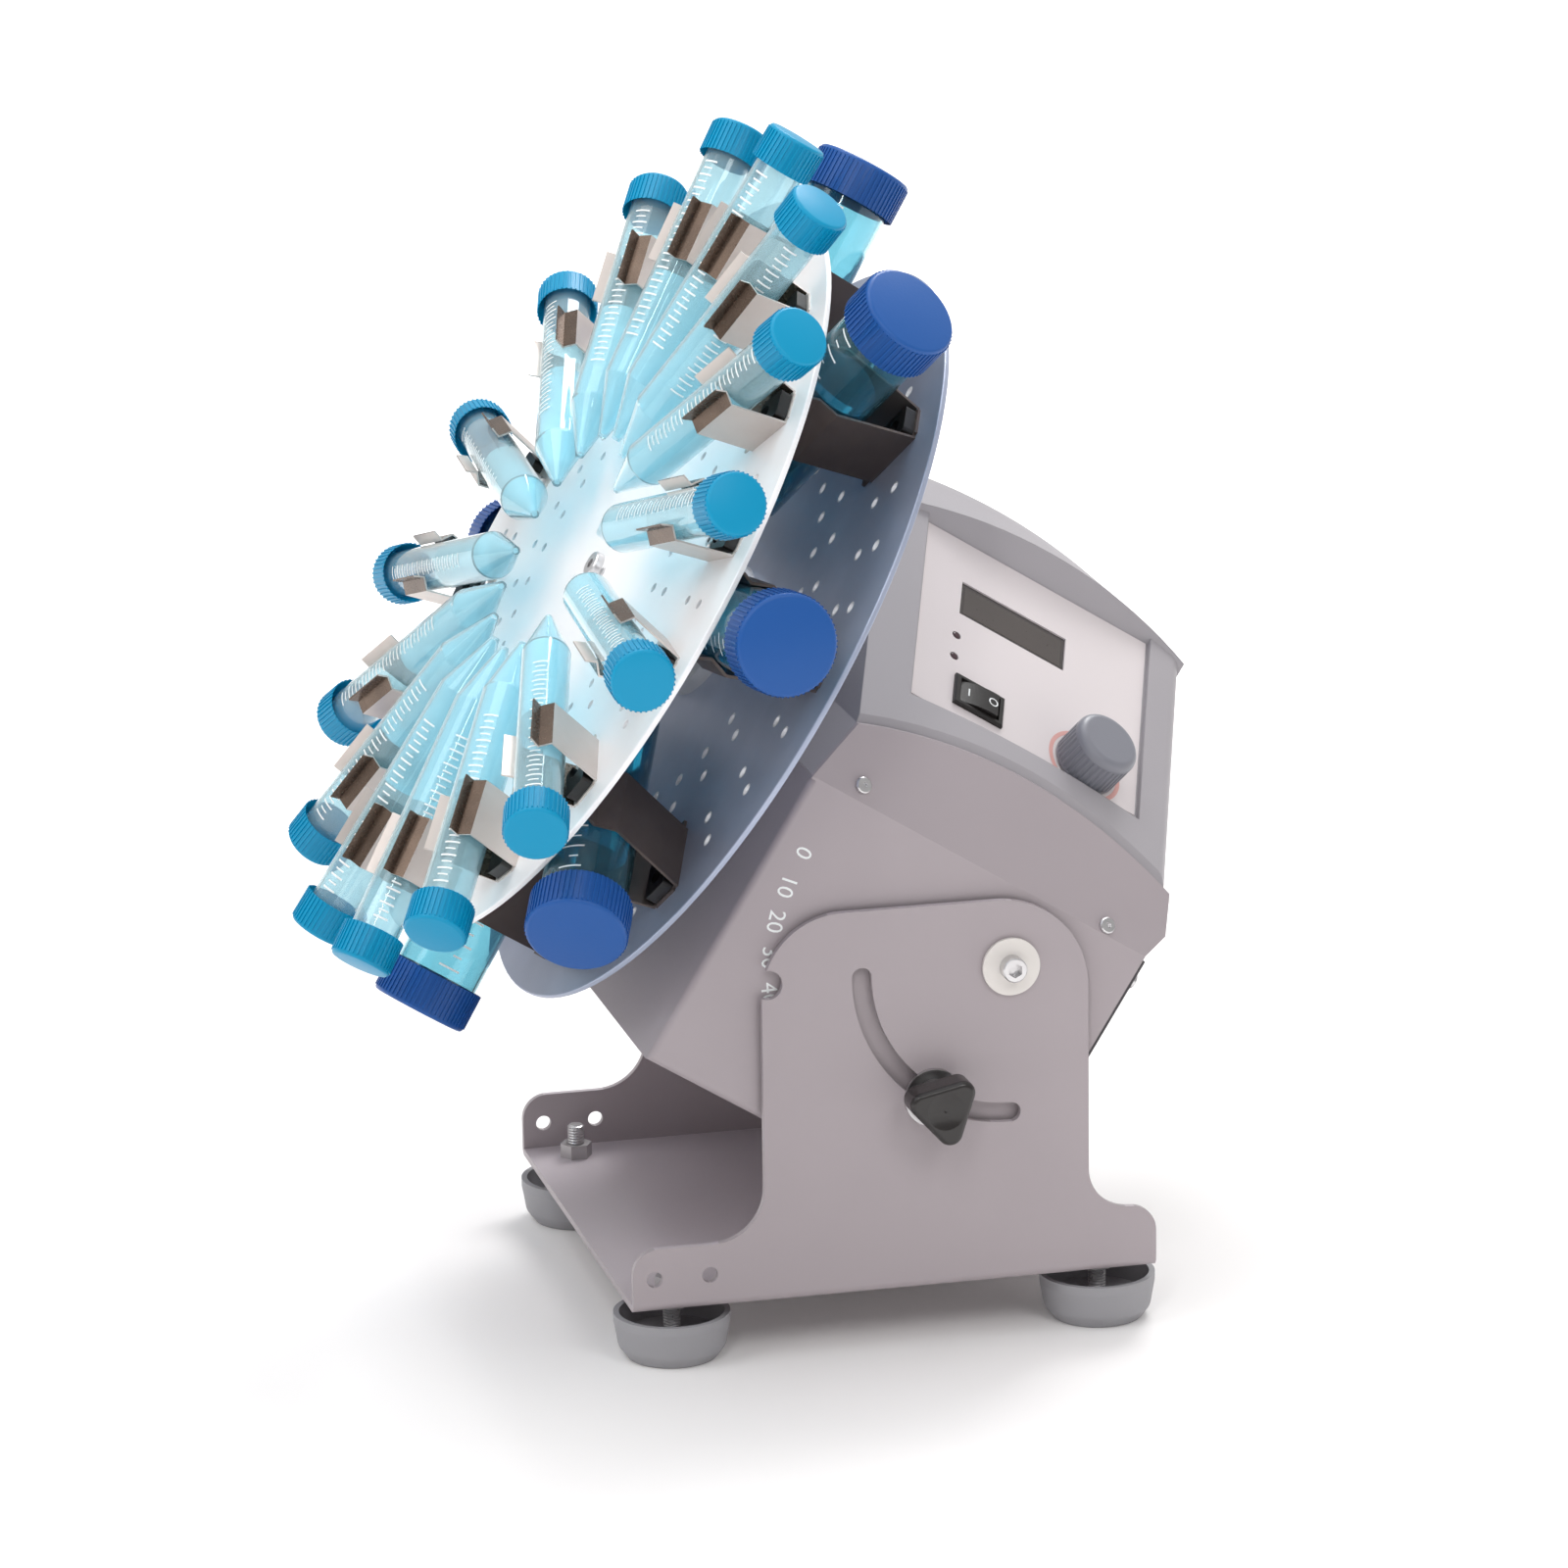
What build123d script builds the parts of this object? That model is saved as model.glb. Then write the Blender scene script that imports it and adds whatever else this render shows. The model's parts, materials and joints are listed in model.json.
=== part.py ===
from build123d import *
import os
from math import cos, sin, tan, radians

# Tilting tube rotator for a laboratory bench.
# A folded stand on four feet carries a head that tilts between 0 and 90 degrees.
# The head holds a gear motor that turns two drilled discs with spring clips and tubes.
# Frames: "stand" is X right, Y away from the operator, Z up, with z = 0 at the feet.
# "head" has its origin on the tilt axis, X backwards along the spindle, Z up at zero tilt.
# "drum" has its origin on the spindle axis above the tilt axis, Z forwards, X up.

os.makedirs("parts", exist_ok=True)

# ---------------------------------------------------------------- driving sizes (mm)
BASE_LENGTH = 184.0         # stand along X
BASE_WIDTH = 184.0          # stand along Y, over the two side plates
BASE_RISE = 20.7            # underside of the base plate above the bench
STAND_SHEET = 2.5           # stand sheet
PIVOT_GAP = 1.5             # head casing to side plate
EAR_HEIGHT = 22.3           # low ears at both ends of a side plate
CHEEK_FRONT = -46.0         # front edge of the tall part of a side plate
CHEEK_BACK = 68.0           # back edge of it
CHEEK_TOP = 155.7           # its top edge above the bench
PIVOT_X = 40.5              # tilt axis
PIVOT_Z = 132.5
TILT = 32.0                 # head angle at rest
TILT_RANGE = 90.0           # slot angle

FOOT_SPREAD_X = 150.8
FOOT_SPREAD_Y = 152.8
FOOT_RIM_R = 20.0
FOOT_SOLE_R = 15.5
FOOT_HEIGHT = 15.7

CLAMP_R = 51.8              # clamp stud from the tilt axis
STUD_R = 3.0                # M6
SLOT_CLEAR = 0.4            # slot wall to stud
SCREW_CLEAR = 0.2           # radial clearance of a screw in a plain hole
SEAT_GAP = 0.3              # faces of different bodies that pass each other
THREAD_CLEAR = 0.05         # screw in its thread, drawn as plain cylinders
RUN_CLEAR = 0.05            # shaft in a bush or bearing

HEAD_WIDTH = BASE_WIDTH - 2 * (STAND_SHEET + PIVOT_GAP)
HEAD_FRONT = -94.0          # casing front wall, outside
HEAD_BACK = 42.5            # casing back edge
HEAD_DROP = 86.5            # casing floor below the tilt axis
FOLD_RISE = 24.2            # fold of the leaning flanges above the tilt axis
CASE_SHEET = 2.0
LEAN = 30.0                 # flange lean from the vertical
SLOPE = 34.0                # control slope from the horizontal
SEAM_RISE = 45.8            # where the flange meets the slope at its ends
HOOD_FRONT = -85.0
HOOD_BACK = 43.6
HOOD_TOP = 111.4            # top of the hood at its two ends
TOP_CROWN = 11.0            # arch of the hood's top above the slope
FAR_TOP = ((-38.0, 124.6), 118.6)   # its far edge: highest point, and height at the front end
SLOPE_CROWN = 5.2           # arch of the slope
SEAM_CROWN = 10.2           # arch of the flange edge
SLOPE_EDGE_R = 7.0          # rounding of the slope into the hood's back
FLANGE_TAIL = (47.2, 33.0)  # rearmost corner of a flange: behind and above the tilt axis
HOOD_WALL = 3.0
TOP_CORNER = 6.0            # bevel between the hood's top and its far wall
HOOD_SHOULDER = 59.0        # the far wall leans like the flange up to this height

AXIS_RISE = 43.3            # spindle above the tilt axis at zero tilt
DISC_R = 140.0
DISC_SHEET = 2.0
DISC_EDGE = 0.5
REAR_DISC_S = 119.0         # back face of the rear disc, forward of the tilt axis
FRONT_DISC_S = 166.5        # back face of the front disc
SPINDLE_R = 6.0

# How far each tube is pushed in through its clip, from the top round by the operator's side.
SEATS_15 = (3.0, 1.0, 0.5, 0.0, 0.0, 0.0, 1.0, 4.0, 6.0, 7.5, 8.5, 8.5, 8.0, 8.5, 6.5, 3.5)
SEATS_50 = (1.5, 0.0, 0.0, 5.0, 4.0, 4.0, 0.0, 5.0)
TUBES_15 = len(SEATS_15)
TUBES_50 = len(SEATS_50)
PHASE_15 = 3.8              # first small tube, degrees from the top towards the operator
TUBE_15 = dict(r=8.4, wall=1.0, length=120.0, cone=22.0, tip=1.5, cap_r=10.9, cap_h=12.3,
               lift=18.0, tip_at=44.3, fill=61.5)
TUBE_50 = dict(r=14.75, wall=1.2, length=115.0, cone=15.0, tip=3.0, cap_r=17.25, cap_h=14.0,
               lift=30.0, tip_at=51.6, fill=74.0)
CLIP_15 = dict(sheet=0.6, length=22.0, mid=118.0,
               legs=[(6.5, 0.3), (11.2, 20.3), (7.5, 23.3), (9.0, 27.0)])     # half section, from the foot
CLIP_50 = dict(sheet=1.0, length=26.0, mid=113.0,
               legs=[(7.0, 0.5), (16.5, 30.0), (13.9, 37.2), (15.6, 41.0)])
HOLE_R = 1.7                # clip holes in the discs
HOLE_ROWS = (67.4, 79.5, 106.4, 118.8)

# ---------------------------------------------------------------- places
HALF_STAND = BASE_WIDTH / 2
HALF_HEAD = HEAD_WIDTH / 2
SEAM_Y = -HALF_HEAD + (SEAM_RISE - FOLD_RISE) * tan(radians(LEAN))
HEAD = Pos(PIVOT_X, 0, PIVOT_Z) * Rot(0, TILT, 0)
AXLE_AT = Pos(0, 0, AXIS_RISE) * Rot(0, -90, 0)     # in the head frame: local Z runs forwards
DRUM = HEAD * AXLE_AT

nodes = {}


def keep(name, *shapes):
    """Store one node: one solid, or a group of separate solids."""
    solids = [s for shape in shapes for s in shape.solids()]
    nodes[name] = Compound(solids) if len(solids) > 1 else solids[0]


def outline(points, radii):
    """A face from corner points, each rounded with its own radius (0 leaves it sharp)."""
    face = make_face(Polyline(*points, close=True))
    for point, radius in zip(points, radii):
        if radius:
            corner = face.vertices().sort_by_distance(point)[0]
            face = fillet(corner, radius)
    return face


def strip(points, sheet):
    """The section of a bent strip that follows the points, with mitred corners."""
    left, right = [], []
    for i, point in enumerate(points):
        before = points[max(i - 1, 0)]
        after = points[min(i + 1, len(points) - 1)]
        here = Vector(*point)
        d1 = (here - Vector(*before)).normalized() if i else (Vector(*after) - here).normalized()
        d2 = (Vector(*after) - here).normalized() if i < len(points) - 1 else d1
        side = Vector(-(d1 + d2).Y, (d1 + d2).X).normalized()
        reach = sheet / 2 / max(0.3, Vector(-d1.Y, d1.X).dot(side))
        left.append(here + side * reach)
        right.append(here - side * reach)
    return make_face(Polyline(*(left + right[::-1]), close=True))


def rod(radius, bottom, top):
    """A cylinder on the local Z axis between two heights."""
    return Pos(0, 0, bottom) * extrude(Circle(radius), top - bottom)


def ring(outer, inner, bottom, top):
    """A washer or tube on the local Z axis between two heights."""
    return Pos(0, 0, bottom) * extrude(Circle(outer) - Circle(inner), top - bottom)


def block(low, high):
    """A box between two corners."""
    size = [h - l for l, h in zip(low, high)]
    middle = [(h + l) / 2 for l, h in zip(low, high)]
    return Pos(*middle) * Box(*size)


def socket_screw(radius, length, head_r, head_h, hex_r):
    """A screw along -Z with its head standing on z = 0 and a hexagon socket in it."""
    body = rod(radius, -length, 0) + chamfer(rod(head_r, 0, head_h).edges().group_by(Axis.Z)[-1], 0.4)
    return body - Pos(0, 0, head_h * 0.45) * extrude(RegularPolygon(hex_r, 6), head_h)


def mirrored_pair(shape):
    """The shape and its mirror image across the middle plane Y = 0."""
    return [shape, mirror(shape, Plane.XZ)]


# ---------------------------------------------------------------- stand
def side_plate():
    """One cheek of the stand, a sheet on the plane Y = 0 that reaches to +Y."""
    half = BASE_LENGTH / 2
    ear = BASE_RISE + EAR_HEIGHT
    points = [(-half, BASE_RISE), (half, BASE_RISE), (half, ear), (CHEEK_BACK, ear),
              (CHEEK_BACK, CHEEK_TOP), (CHEEK_FRONT, CHEEK_TOP), (CHEEK_FRONT, ear), (-half, ear)]
    face = outline(points, [0, 0, 9, 15, 32, 28, 18, 9])
    face -= Pos(CHEEK_FRONT + NOTCH_R * 0.45, PIVOT_Z) * Circle(NOTCH_R)
    for x in EAR_HOLES_X:
        face -= Pos(x, EAR_HOLE_Z) * Circle(EAR_HOLE_R)
    face -= Pos(PIVOT_X, PIVOT_Z) * Circle(BUSH_R + RUN_CLEAR)
    return Rot(90, 0, 0) * extrude(face, -STAND_SHEET)


def tilt_slot():
    """The curved slot for the clamp stud, cut through the near cheek."""
    half = STUD_R + SLOT_CLEAR
    band = Circle(CLAMP_R + half) - Circle(CLAMP_R - half)
    band &= Pos(-CLAMP_R, -CLAMP_R) * Rectangle(2 * CLAMP_R, 2 * CLAMP_R)
    for x, y in ((-CLAMP_R, 0), (0, -CLAMP_R)):
        band += Pos(x, y) * Circle(half)
    return Pos(PIVOT_X, 0, PIVOT_Z) * Rot(90, 0, 0) * extrude(band, HALF_STAND + 1)


NOTCH_R = 5.0
EAR_HOLES_X = (-84.5, -65.3)
EAR_HOLE_Z = 32.3
EAR_HOLE_R = 2.75
BUSH_R = 4.0
BEND_R = 3.0
FOOT_PLACES = [(sx * FOOT_SPREAD_X / 2, sy * FOOT_SPREAD_Y / 2) for sx in (-1, 1) for sy in (-1, 1)]

near = Pos(0, -HALF_STAND, 0) * side_plate()
far = mirror(near, Plane.XZ)
floor_top = BASE_RISE + STAND_SHEET
base = block((-BASE_LENGTH / 2, -HALF_STAND, BASE_RISE), (BASE_LENGTH / 2, HALF_STAND, floor_top))
stand = near + far + base
for y in (-HALF_STAND, HALF_STAND):
    bend = stand.edges().filter_by(Axis.X).sort_by_distance((0, y, BASE_RISE))[0]
    stand = fillet(bend, BEND_R)
stand -= tilt_slot()
for x, y in FOOT_PLACES:
    stand -= Pos(x, y, 0) * rod(STUD_R + SCREW_CLEAR, 0, floor_top + 1)
keep("stand_bracket", stand)


def hex_nut(height):
    """An M6 nut standing on z = 0."""
    return extrude(RegularPolygon(M6_HEX_R, 6) - Circle(STUD_R + THREAD_CLEAR), height)


def foot_cup():
    """A rubber cup: flat sole, rounded lower edge, raised rim round a recess."""
    half = make_face(Polyline((0, 0), (FOOT_SOLE_R, 0), (FOOT_SOLE_R + 3, 4), (FOOT_RIM_R, FOOT_HEIGHT - 3),
                              (FOOT_RIM_R, FOOT_HEIGHT), (FOOT_RIM_R - 2, FOOT_HEIGHT),
                              (FOOT_RIM_R - 4, FOOT_RECESS), (0, FOOT_RECESS), close=True))
    half = fillet(half.vertices().sort_by_distance((FOOT_SOLE_R + 3, 4))[0], 4)
    cup = revolve(Plane.XZ * half, Axis.Z)
    return cup - rod(STUD_R + THREAD_CLEAR, FOOT_STUD_LOW, FOOT_HEIGHT)


FOOT_RECESS = 8.0
FOOT_STUD_LOW = 4.0
FOOT_STUD_TOP = floor_top + 12.0
M6_HEX_R = 5.77                     # over the corners
NUT_H, JAM_NUT_H = 5.0, 3.2
feet, studs, nuts, jam_nuts = [], [], [], []
for x, y in FOOT_PLACES:
    at = Pos(x, y, 0)
    feet.append(at * foot_cup())
    stud = chamfer(rod(STUD_R, FOOT_STUD_LOW, FOOT_STUD_TOP).edges().group_by(Axis.Z)[-1], 0.8)
    studs.append(at * stud)
    nuts.append(at * Pos(0, 0, floor_top) * hex_nut(NUT_H))
    jam_nuts.append(at * Pos(0, 0, BASE_RISE - JAM_NUT_H) * hex_nut(JAM_NUT_H))
keep("foot_cups", *feet)
keep("foot_studs", *studs)
keep("foot_nuts", *nuts)
keep("foot_jam_nuts", *jam_nuts)

# ---------------------------------------------------------------- tilt axis and clamp
SCREW_5 = 2.5
WASHER_R = 10.0
WASHER_H = 1.5
BOSS_R, BOSS_H = 8.0, 8.0
PIVOT_HEAD_R, PIVOT_HEAD_H, PIVOT_HEX_R = 4.25, 5.0, 2.6


def near_and_far(shape):
    """A shape made along -Y from the tilt axis, placed on the head with its mirror image."""
    made = Rot(90, 0, 0) * shape
    return [HEAD * s for s in mirrored_pair(made)]


washer_low = HALF_STAND + SEAT_GAP
washer_top = washer_low + WASHER_H
boss_face = HALF_HEAD - CASE_SHEET
keep("pivot_bosses", *near_and_far(ring(BOSS_R, SCREW_5 + THREAD_CLEAR, boss_face - BOSS_H, boss_face)))
keep("pivot_washers", *near_and_far(ring(WASHER_R, SCREW_5 + SCREW_CLEAR, washer_low, washer_top)))
keep("pivot_bushes", *near_and_far(ring(BUSH_R, SCREW_5 + SCREW_CLEAR, HALF_HEAD, washer_low)))
keep("pivot_spacers", *near_and_far(ring(WASHER_R, BUSH_R + THREAD_CLEAR, HALF_HEAD,
                                         HALF_STAND - STAND_SHEET - SEAT_GAP)))
pivot_reach = washer_top - boss_face + BOSS_H - 1
pivot_screw = socket_screw(SCREW_5, pivot_reach, PIVOT_HEAD_R, PIVOT_HEAD_H, PIVOT_HEX_R)
keep("pivot_screws", *near_and_far(Pos(0, 0, washer_top) * pivot_screw))

CLAMP = HEAD * Pos(0, 0, -CLAMP_R) * Rot(90, 0, 0)
KNOB_H = 16.0
KNOB_NECK_R, KNOB_NECK_H = 7.0, 5.0
KNOB_DISH_R, KNOB_DISH = 24.0, 0.9
LOBE_R, LOBE_AT, LOBE_TURN = 4.4, 8.2, 74
KNOB_TOP_EDGE, KNOB_LOW_EDGE = 2.0, 1.2
keep("clamp_nut", CLAMP * Pos(0, 0, boss_face - NUT_H) * hex_nut(NUT_H))
keep("clamp_washer", CLAMP * ring(WASHER_R, STUD_R + SLOT_CLEAR, washer_low, washer_top))
knob_low = washer_top + SEAT_GAP
lobes = [Rot(0, 0, LOBE_TURN + 120 * k) * Pos(LOBE_AT, 0) for k in range(3)]
knob_face = make_hull([e for at in lobes for e in (at * Circle(LOBE_R)).edges()])
knob = Pos(0, 0, KNOB_NECK_H) * extrude(knob_face, KNOB_H - KNOB_NECK_H)
knob = fillet(knob.edges().group_by(Axis.Z)[-1], KNOB_TOP_EDGE)
knob = fillet(knob.edges().group_by(Axis.Z)[0], KNOB_LOW_EDGE)
knob -= Pos(0, 0, KNOB_H - KNOB_DISH + KNOB_DISH_R) * Sphere(KNOB_DISH_R)
knob += rod(KNOB_NECK_R, 0, KNOB_NECK_H + 1)
knob = Pos(0, 0, knob_low) * knob + rod(STUD_R, boss_face - NUT_H - 2, knob_low + 2)
keep("clamp_knob", CLAMP * knob)

# ---------------------------------------------------------------- head casing
FLANGE_REACH = 38.0
FRAME_HOLES = [(-70.0, -24.0), (-70.0, 24.0), (-22.0, -24.0), (-22.0, 24.0)]
SHELL_SCREWS = ((-76.0, 5.5), (25.0, 3.0))      # along the head, and above the fold along the flange
M3 = 1.5
M3_HEAD = (2.85, 1.7, 1.1)          # head radius, head height, socket radius


def arch(left, right, ends, crown):
    """Points of an arc that rises by crown over the middle of a span."""
    return ThreePointArc((left, ends), ((left + right) / 2, ends + crown), (right, ends))


def flange():
    """The near leaning flange of the casing with its arched edge, in the head frame."""
    lean = radians(LEAN)
    inner = HALF_HEAD - CASE_SHEET / cos(lean)
    inward = FLANGE_REACH * sin(lean)
    rise = FOLD_RISE + FLANGE_REACH * cos(lean)
    section = make_face(Polyline((-HALF_HEAD, FOLD_RISE), (-HALF_HEAD + inward, rise),
                                 (-inner + inward, rise),
                                 (-inner, FOLD_RISE), (-HALF_HEAD + CASE_SHEET, FOLD_RISE - 1),
                                 (-HALF_HEAD, FOLD_RISE - 1), close=True))
    sheet = Pos(HEAD_FRONT, 0, 0) * extrude(Plane.YZ * section, FLANGE_TAIL[0] - HEAD_FRONT)
    top = arch(HOOD_FRONT, HOOD_BACK, SEAM_RISE, SEAM_CROWN)
    below = FOLD_RISE - CASE_SHEET
    edge = make_face([Line((HEAD_FRONT, below), (HEAD_FRONT, FOLD_RISE)),
                      Line((HEAD_FRONT, FOLD_RISE), (HOOD_FRONT, SEAM_RISE)), top,
                      Line((HOOD_BACK, SEAM_RISE), FLANGE_TAIL), Line(FLANGE_TAIL, (HEAD_BACK, FOLD_RISE)),
                      Line((HEAD_BACK, FOLD_RISE), (HEAD_BACK, below)),
                      Line((HEAD_BACK, below), (HEAD_FRONT, below))])
    return sheet & (Rot(90, 0, 0) * extrude(edge, HALF_HEAD + 1))


def on_flange(shape):
    """Shapes at the shell screws: local Z leaves the near flange, mirrored to the far one."""
    lean = radians(LEAN)
    plane = Plane(origin=(0, -HALF_HEAD, FOLD_RISE), x_dir=(1, 0, 0), z_dir=(0, -cos(lean), sin(lean)))
    made = [plane.location * Pos(a, v, 0) * shape for a, v in SHELL_SCREWS]
    return [s for m in made for s in mirrored_pair(m)]


CASE_BEND_R = 2.5
REAR_FLANGE = 12.0
REAR_SCREW_IN = 7.0
REAR_SCREWS = [(sy * (HALF_HEAD - REAR_SCREW_IN), b) for sy in (-1, 1) for b in (-70.0, 14.0)]
casing = block((HEAD_FRONT, -HALF_HEAD, -HEAD_DROP), (HEAD_BACK, HALF_HEAD, FOLD_RISE))
lower_edges = casing.edges().filter_by(Axis.X).group_by(Axis.Z)[0]
front_edges = casing.edges().filter_by(Axis.Z).group_by(Axis.X)[0]
casing = fillet(lower_edges + front_edges, CASE_BEND_R)
casing -= block((HEAD_FRONT + CASE_SHEET, -boss_face, -HEAD_DROP + CASE_SHEET),
                (HEAD_BACK + 1, boss_face, FOLD_RISE + 1))
for side in mirrored_pair(block((HEAD_BACK - CASE_SHEET, boss_face - REAR_FLANGE, -HEAD_DROP + 1),
                                (HEAD_BACK, boss_face + 1, FOLD_RISE - 2))):
    casing += side
for side in mirrored_pair(flange()):
    casing += side
for cut in on_flange(rod(M3 + SCREW_CLEAR, -CASE_SHEET - 1, 1)):
    casing -= cut
for y, b in REAR_SCREWS:
    casing -= Pos(HEAD_BACK - CASE_SHEET - 1, y, b) * Rot(0, 90, 0) * rod(M3 + THREAD_CLEAR, 0, 5)
for a, y in FRAME_HOLES:
    casing -= Pos(a, y, -HEAD_DROP - 1) * rod(2 + SCREW_CLEAR, 0, 5)
for side in (-1, 1):
    casing -= Pos(0, side * HALF_HEAD, 0) * Rot(90, 0, 0) * rod(SCREW_5 + SCREW_CLEAR, -5, 5)
casing -= Pos(0, -HALF_HEAD, -CLAMP_R) * Rot(90, 0, 0) * rod(STUD_R + SLOT_CLEAR, -5, 5)
keep("head_casing", HEAD * casing)

# ---------------------------------------------------------------- hood and control slope
LABEL = dict(left=-66.3, right=26.8, bottom=27.7, top=115.7, sheet=0.6)
RECESS_EDGE = 1.0                   # label to the sides of its recess
RECESS_FOOT = 3.0                   # and to its lower edge, below the speed knob
RECESS_TALL = 20.0
WALL_Y = SEAM_Y + (LABEL["top"] + 0.5) * cos(radians(SLOPE))    # upright wall just above the label
WINDOW = dict(left=-50.3, right=-6.4, bottom=79.0, top=95.5)
LEDS = [(-50.6, 67.4), (-50.8, 56.7)]
LED_R = 1.5
ROCKER = dict(a=-39.8, u=40.7, width=20.2, height=14.3)
KNOB = dict(a=5.0, u=38.0, r=12.2, h=15.0, foot_gap=0.8)
SHAFT_R = 3.0


def lean_point(rise):
    """Y of the hood's leaning walls at a height, taken on the far side."""
    inner = HALF_HEAD - CASE_SHEET / cos(radians(LEAN)) - SEAT_GAP
    return inner - (rise - FOLD_RISE) * tan(radians(LEAN))


def slope_y(rise):
    """Y of the flat control slope at a height."""
    return SEAM_Y + (rise - SEAM_RISE) / tan(radians(SLOPE))


def side_face(top):
    """The side outline of the hood below an arched top edge, in the plane of X and Z."""
    left, right = top @ 0, top @ 1
    foot_front = HEAD_FRONT + SEAT_GAP
    foot, seam_end, heel = (foot_front, FOLD_RISE), (HOOD_FRONT, SEAM_RISE), (HOOD_BACK, FOLD_RISE)
    return make_face([Line(foot, seam_end), Line(seam_end, left), top, Line(right, heel), Line(heel, foot)])


def hood_front():
    """The part under the arched control slope, up to the upright wall above the label."""
    sky = HOOD_TOP + 3 * TOP_CROWN
    section = make_face(Polyline((-lean_point(FOLD_RISE), FOLD_RISE),
                                 (-lean_point(HOOD_SHOULDER), HOOD_SHOULDER),
                                 (WALL_Y, sky), (WALL_Y, FOLD_RISE), close=True))
    body = Pos(HEAD_FRONT, 0, 0) * extrude(Plane.YZ * section, HOOD_BACK - HEAD_FRONT)
    open_side = side_face(arch(HOOD_FRONT, HOOD_BACK, sky, TOP_CROWN))
    body &= Rot(90, 0, 0) * extrude(open_side, HALF_HEAD, both=True)
    deep = 1.5 * HALF_HEAD
    slope = make_face([Line((HEAD_FRONT, -deep), (HEAD_FRONT, 0)),
                       Line((HEAD_FRONT, 0), (HOOD_FRONT, 0)),
                       arch(HOOD_FRONT, HOOD_BACK, 0, SLOPE_CROWN),
                       Line((HOOD_BACK, 0), (HOOD_BACK, -deep)),
                       Line((HOOD_BACK, -deep), (HEAD_FRONT, -deep))])
    slope = fillet(slope.vertices().sort_by_distance((HOOD_BACK, 0))[0], SLOPE_EDGE_R)
    return body & (PANEL_AT * Rot(90, 0, 0) * extrude(slope, 2.5 * HALF_HEAD, both=True))


def hood_rear():
    """The part behind the wall: its arched top rises a little towards the far edge."""
    far = lean_point(HOOD_SHOULDER)
    peak, front_end = FAR_TOP
    near_top = arch(HOOD_FRONT, HOOD_BACK, HOOD_TOP, TOP_CROWN)
    far_top = ThreePointArc((HOOD_FRONT, front_end), peak, (HOOD_BACK, HOOD_TOP))
    faces = [Plane(origin=(0, y, 0), x_dir=(1, 0, 0), z_dir=(0, -1, 0)).location * side_face(top)
             for y, top in ((WALL_Y, near_top), (far, far_top))]
    sky = HOOD_TOP + 3 * TOP_CROWN
    section = make_face(Polyline((WALL_Y, FOLD_RISE), (WALL_Y, sky), (far - TOP_CORNER, sky),
                                 (far - TOP_CORNER, HOOD_TOP + TOP_CROWN), (far, HOOD_TOP - TOP_CORNER),
                                 (far, FOLD_RISE), close=True))
    upper = loft(faces) & (Pos(HEAD_FRONT, 0, 0) * extrude(Plane.YZ * section, HOOD_BACK - HEAD_FRONT))
    skirt = make_face(Polyline((WALL_Y, FOLD_RISE), (WALL_Y, HOOD_SHOULDER), (far, HOOD_SHOULDER),
                               (lean_point(FOLD_RISE), FOLD_RISE), close=True))
    skirt = Pos(HEAD_FRONT, 0, 0) * extrude(Plane.YZ * skirt, HOOD_BACK - HEAD_FRONT)
    return upper + (skirt & (Rot(90, 0, 0) * extrude(side_face(near_top), HALF_HEAD, both=True)))


def hood_cavity():
    """The hollow of the hood, one wall inside its flat form and open below."""
    lean, slope = radians(LEAN), radians(SLOPE)
    along = ((SEAM_RISE - FOLD_RISE) * cos(slope)
             - (SEAM_Y + lean_point(FOLD_RISE)) * sin(slope)) / cos(lean + slope)
    knee = FOLD_RISE + along * cos(lean)
    below = FOLD_RISE - 2 * HOOD_WALL
    far = lean_point(HOOD_SHOULDER)
    flat = make_face(Polyline((-lean_point(below), below), (-lean_point(knee), knee),
                              (slope_y(HOOD_TOP), HOOD_TOP), (far - TOP_CORNER, HOOD_TOP),
                              (far, HOOD_TOP - TOP_CORNER), (far, HOOD_SHOULDER),
                              (lean_point(below), below), close=True))
    depth = HOOD_BACK - HOOD_FRONT - 2 * HOOD_WALL
    return Pos(HOOD_FRONT + HOOD_WALL, 0, 0) * extrude(Plane.YZ * offset(flat, -HOOD_WALL), depth)


def on_panel(a, u, shape, w=0.0):
    """A shape at a place on the control slope, local Z standing out of it."""
    return PANEL_AT * Pos(a, u, w) * shape


PANEL_AT = Plane(origin=(0, SEAM_Y, SEAM_RISE), x_dir=(1, 0, 0),
                 z_dir=(0, -sin(radians(SLOPE)), cos(radians(SLOPE)))).location
label_w = LABEL["right"] - LABEL["left"]
label_h = LABEL["top"] - LABEL["bottom"]
label_a = (LABEL["right"] + LABEL["left"]) / 2
label_u = (LABEL["top"] + LABEL["bottom"]) / 2
window_w = WINDOW["right"] - WINDOW["left"]
window_h = WINDOW["top"] - WINDOW["bottom"]
window_a = (WINDOW["right"] + WINDOW["left"]) / 2
window_u = (WINDOW["top"] + WINDOW["bottom"]) / 2
SPINDLE_HOLE_R = SPINDLE_R + 3.0

hood = hood_front() + hood_rear() - hood_cavity()
recess = block((LABEL["left"] - RECESS_EDGE, LABEL["bottom"] - RECESS_FOOT, 0),
               (LABEL["right"] + RECESS_EDGE, LABEL["top"] + RECESS_TALL, RECESS_TALL))
recess_room = block((HEAD_FRONT, -HALF_HEAD, FOLD_RISE), (HOOD_BACK, WALL_Y, HOOD_TOP + RECESS_TALL))
hood -= on_panel(0, 0, recess) & recess_room
hood -= on_panel(window_a, window_u, Box(window_w, window_h, 3 * HOOD_WALL))
hood -= on_panel(ROCKER["a"], ROCKER["u"], Box(ROCKER["width"] - 1, ROCKER["height"] - 1, 3 * HOOD_WALL))
hood -= on_panel(KNOB["a"], KNOB["u"], rod(3.5 + SCREW_CLEAR, -3 * HOOD_WALL, 5))
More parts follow.
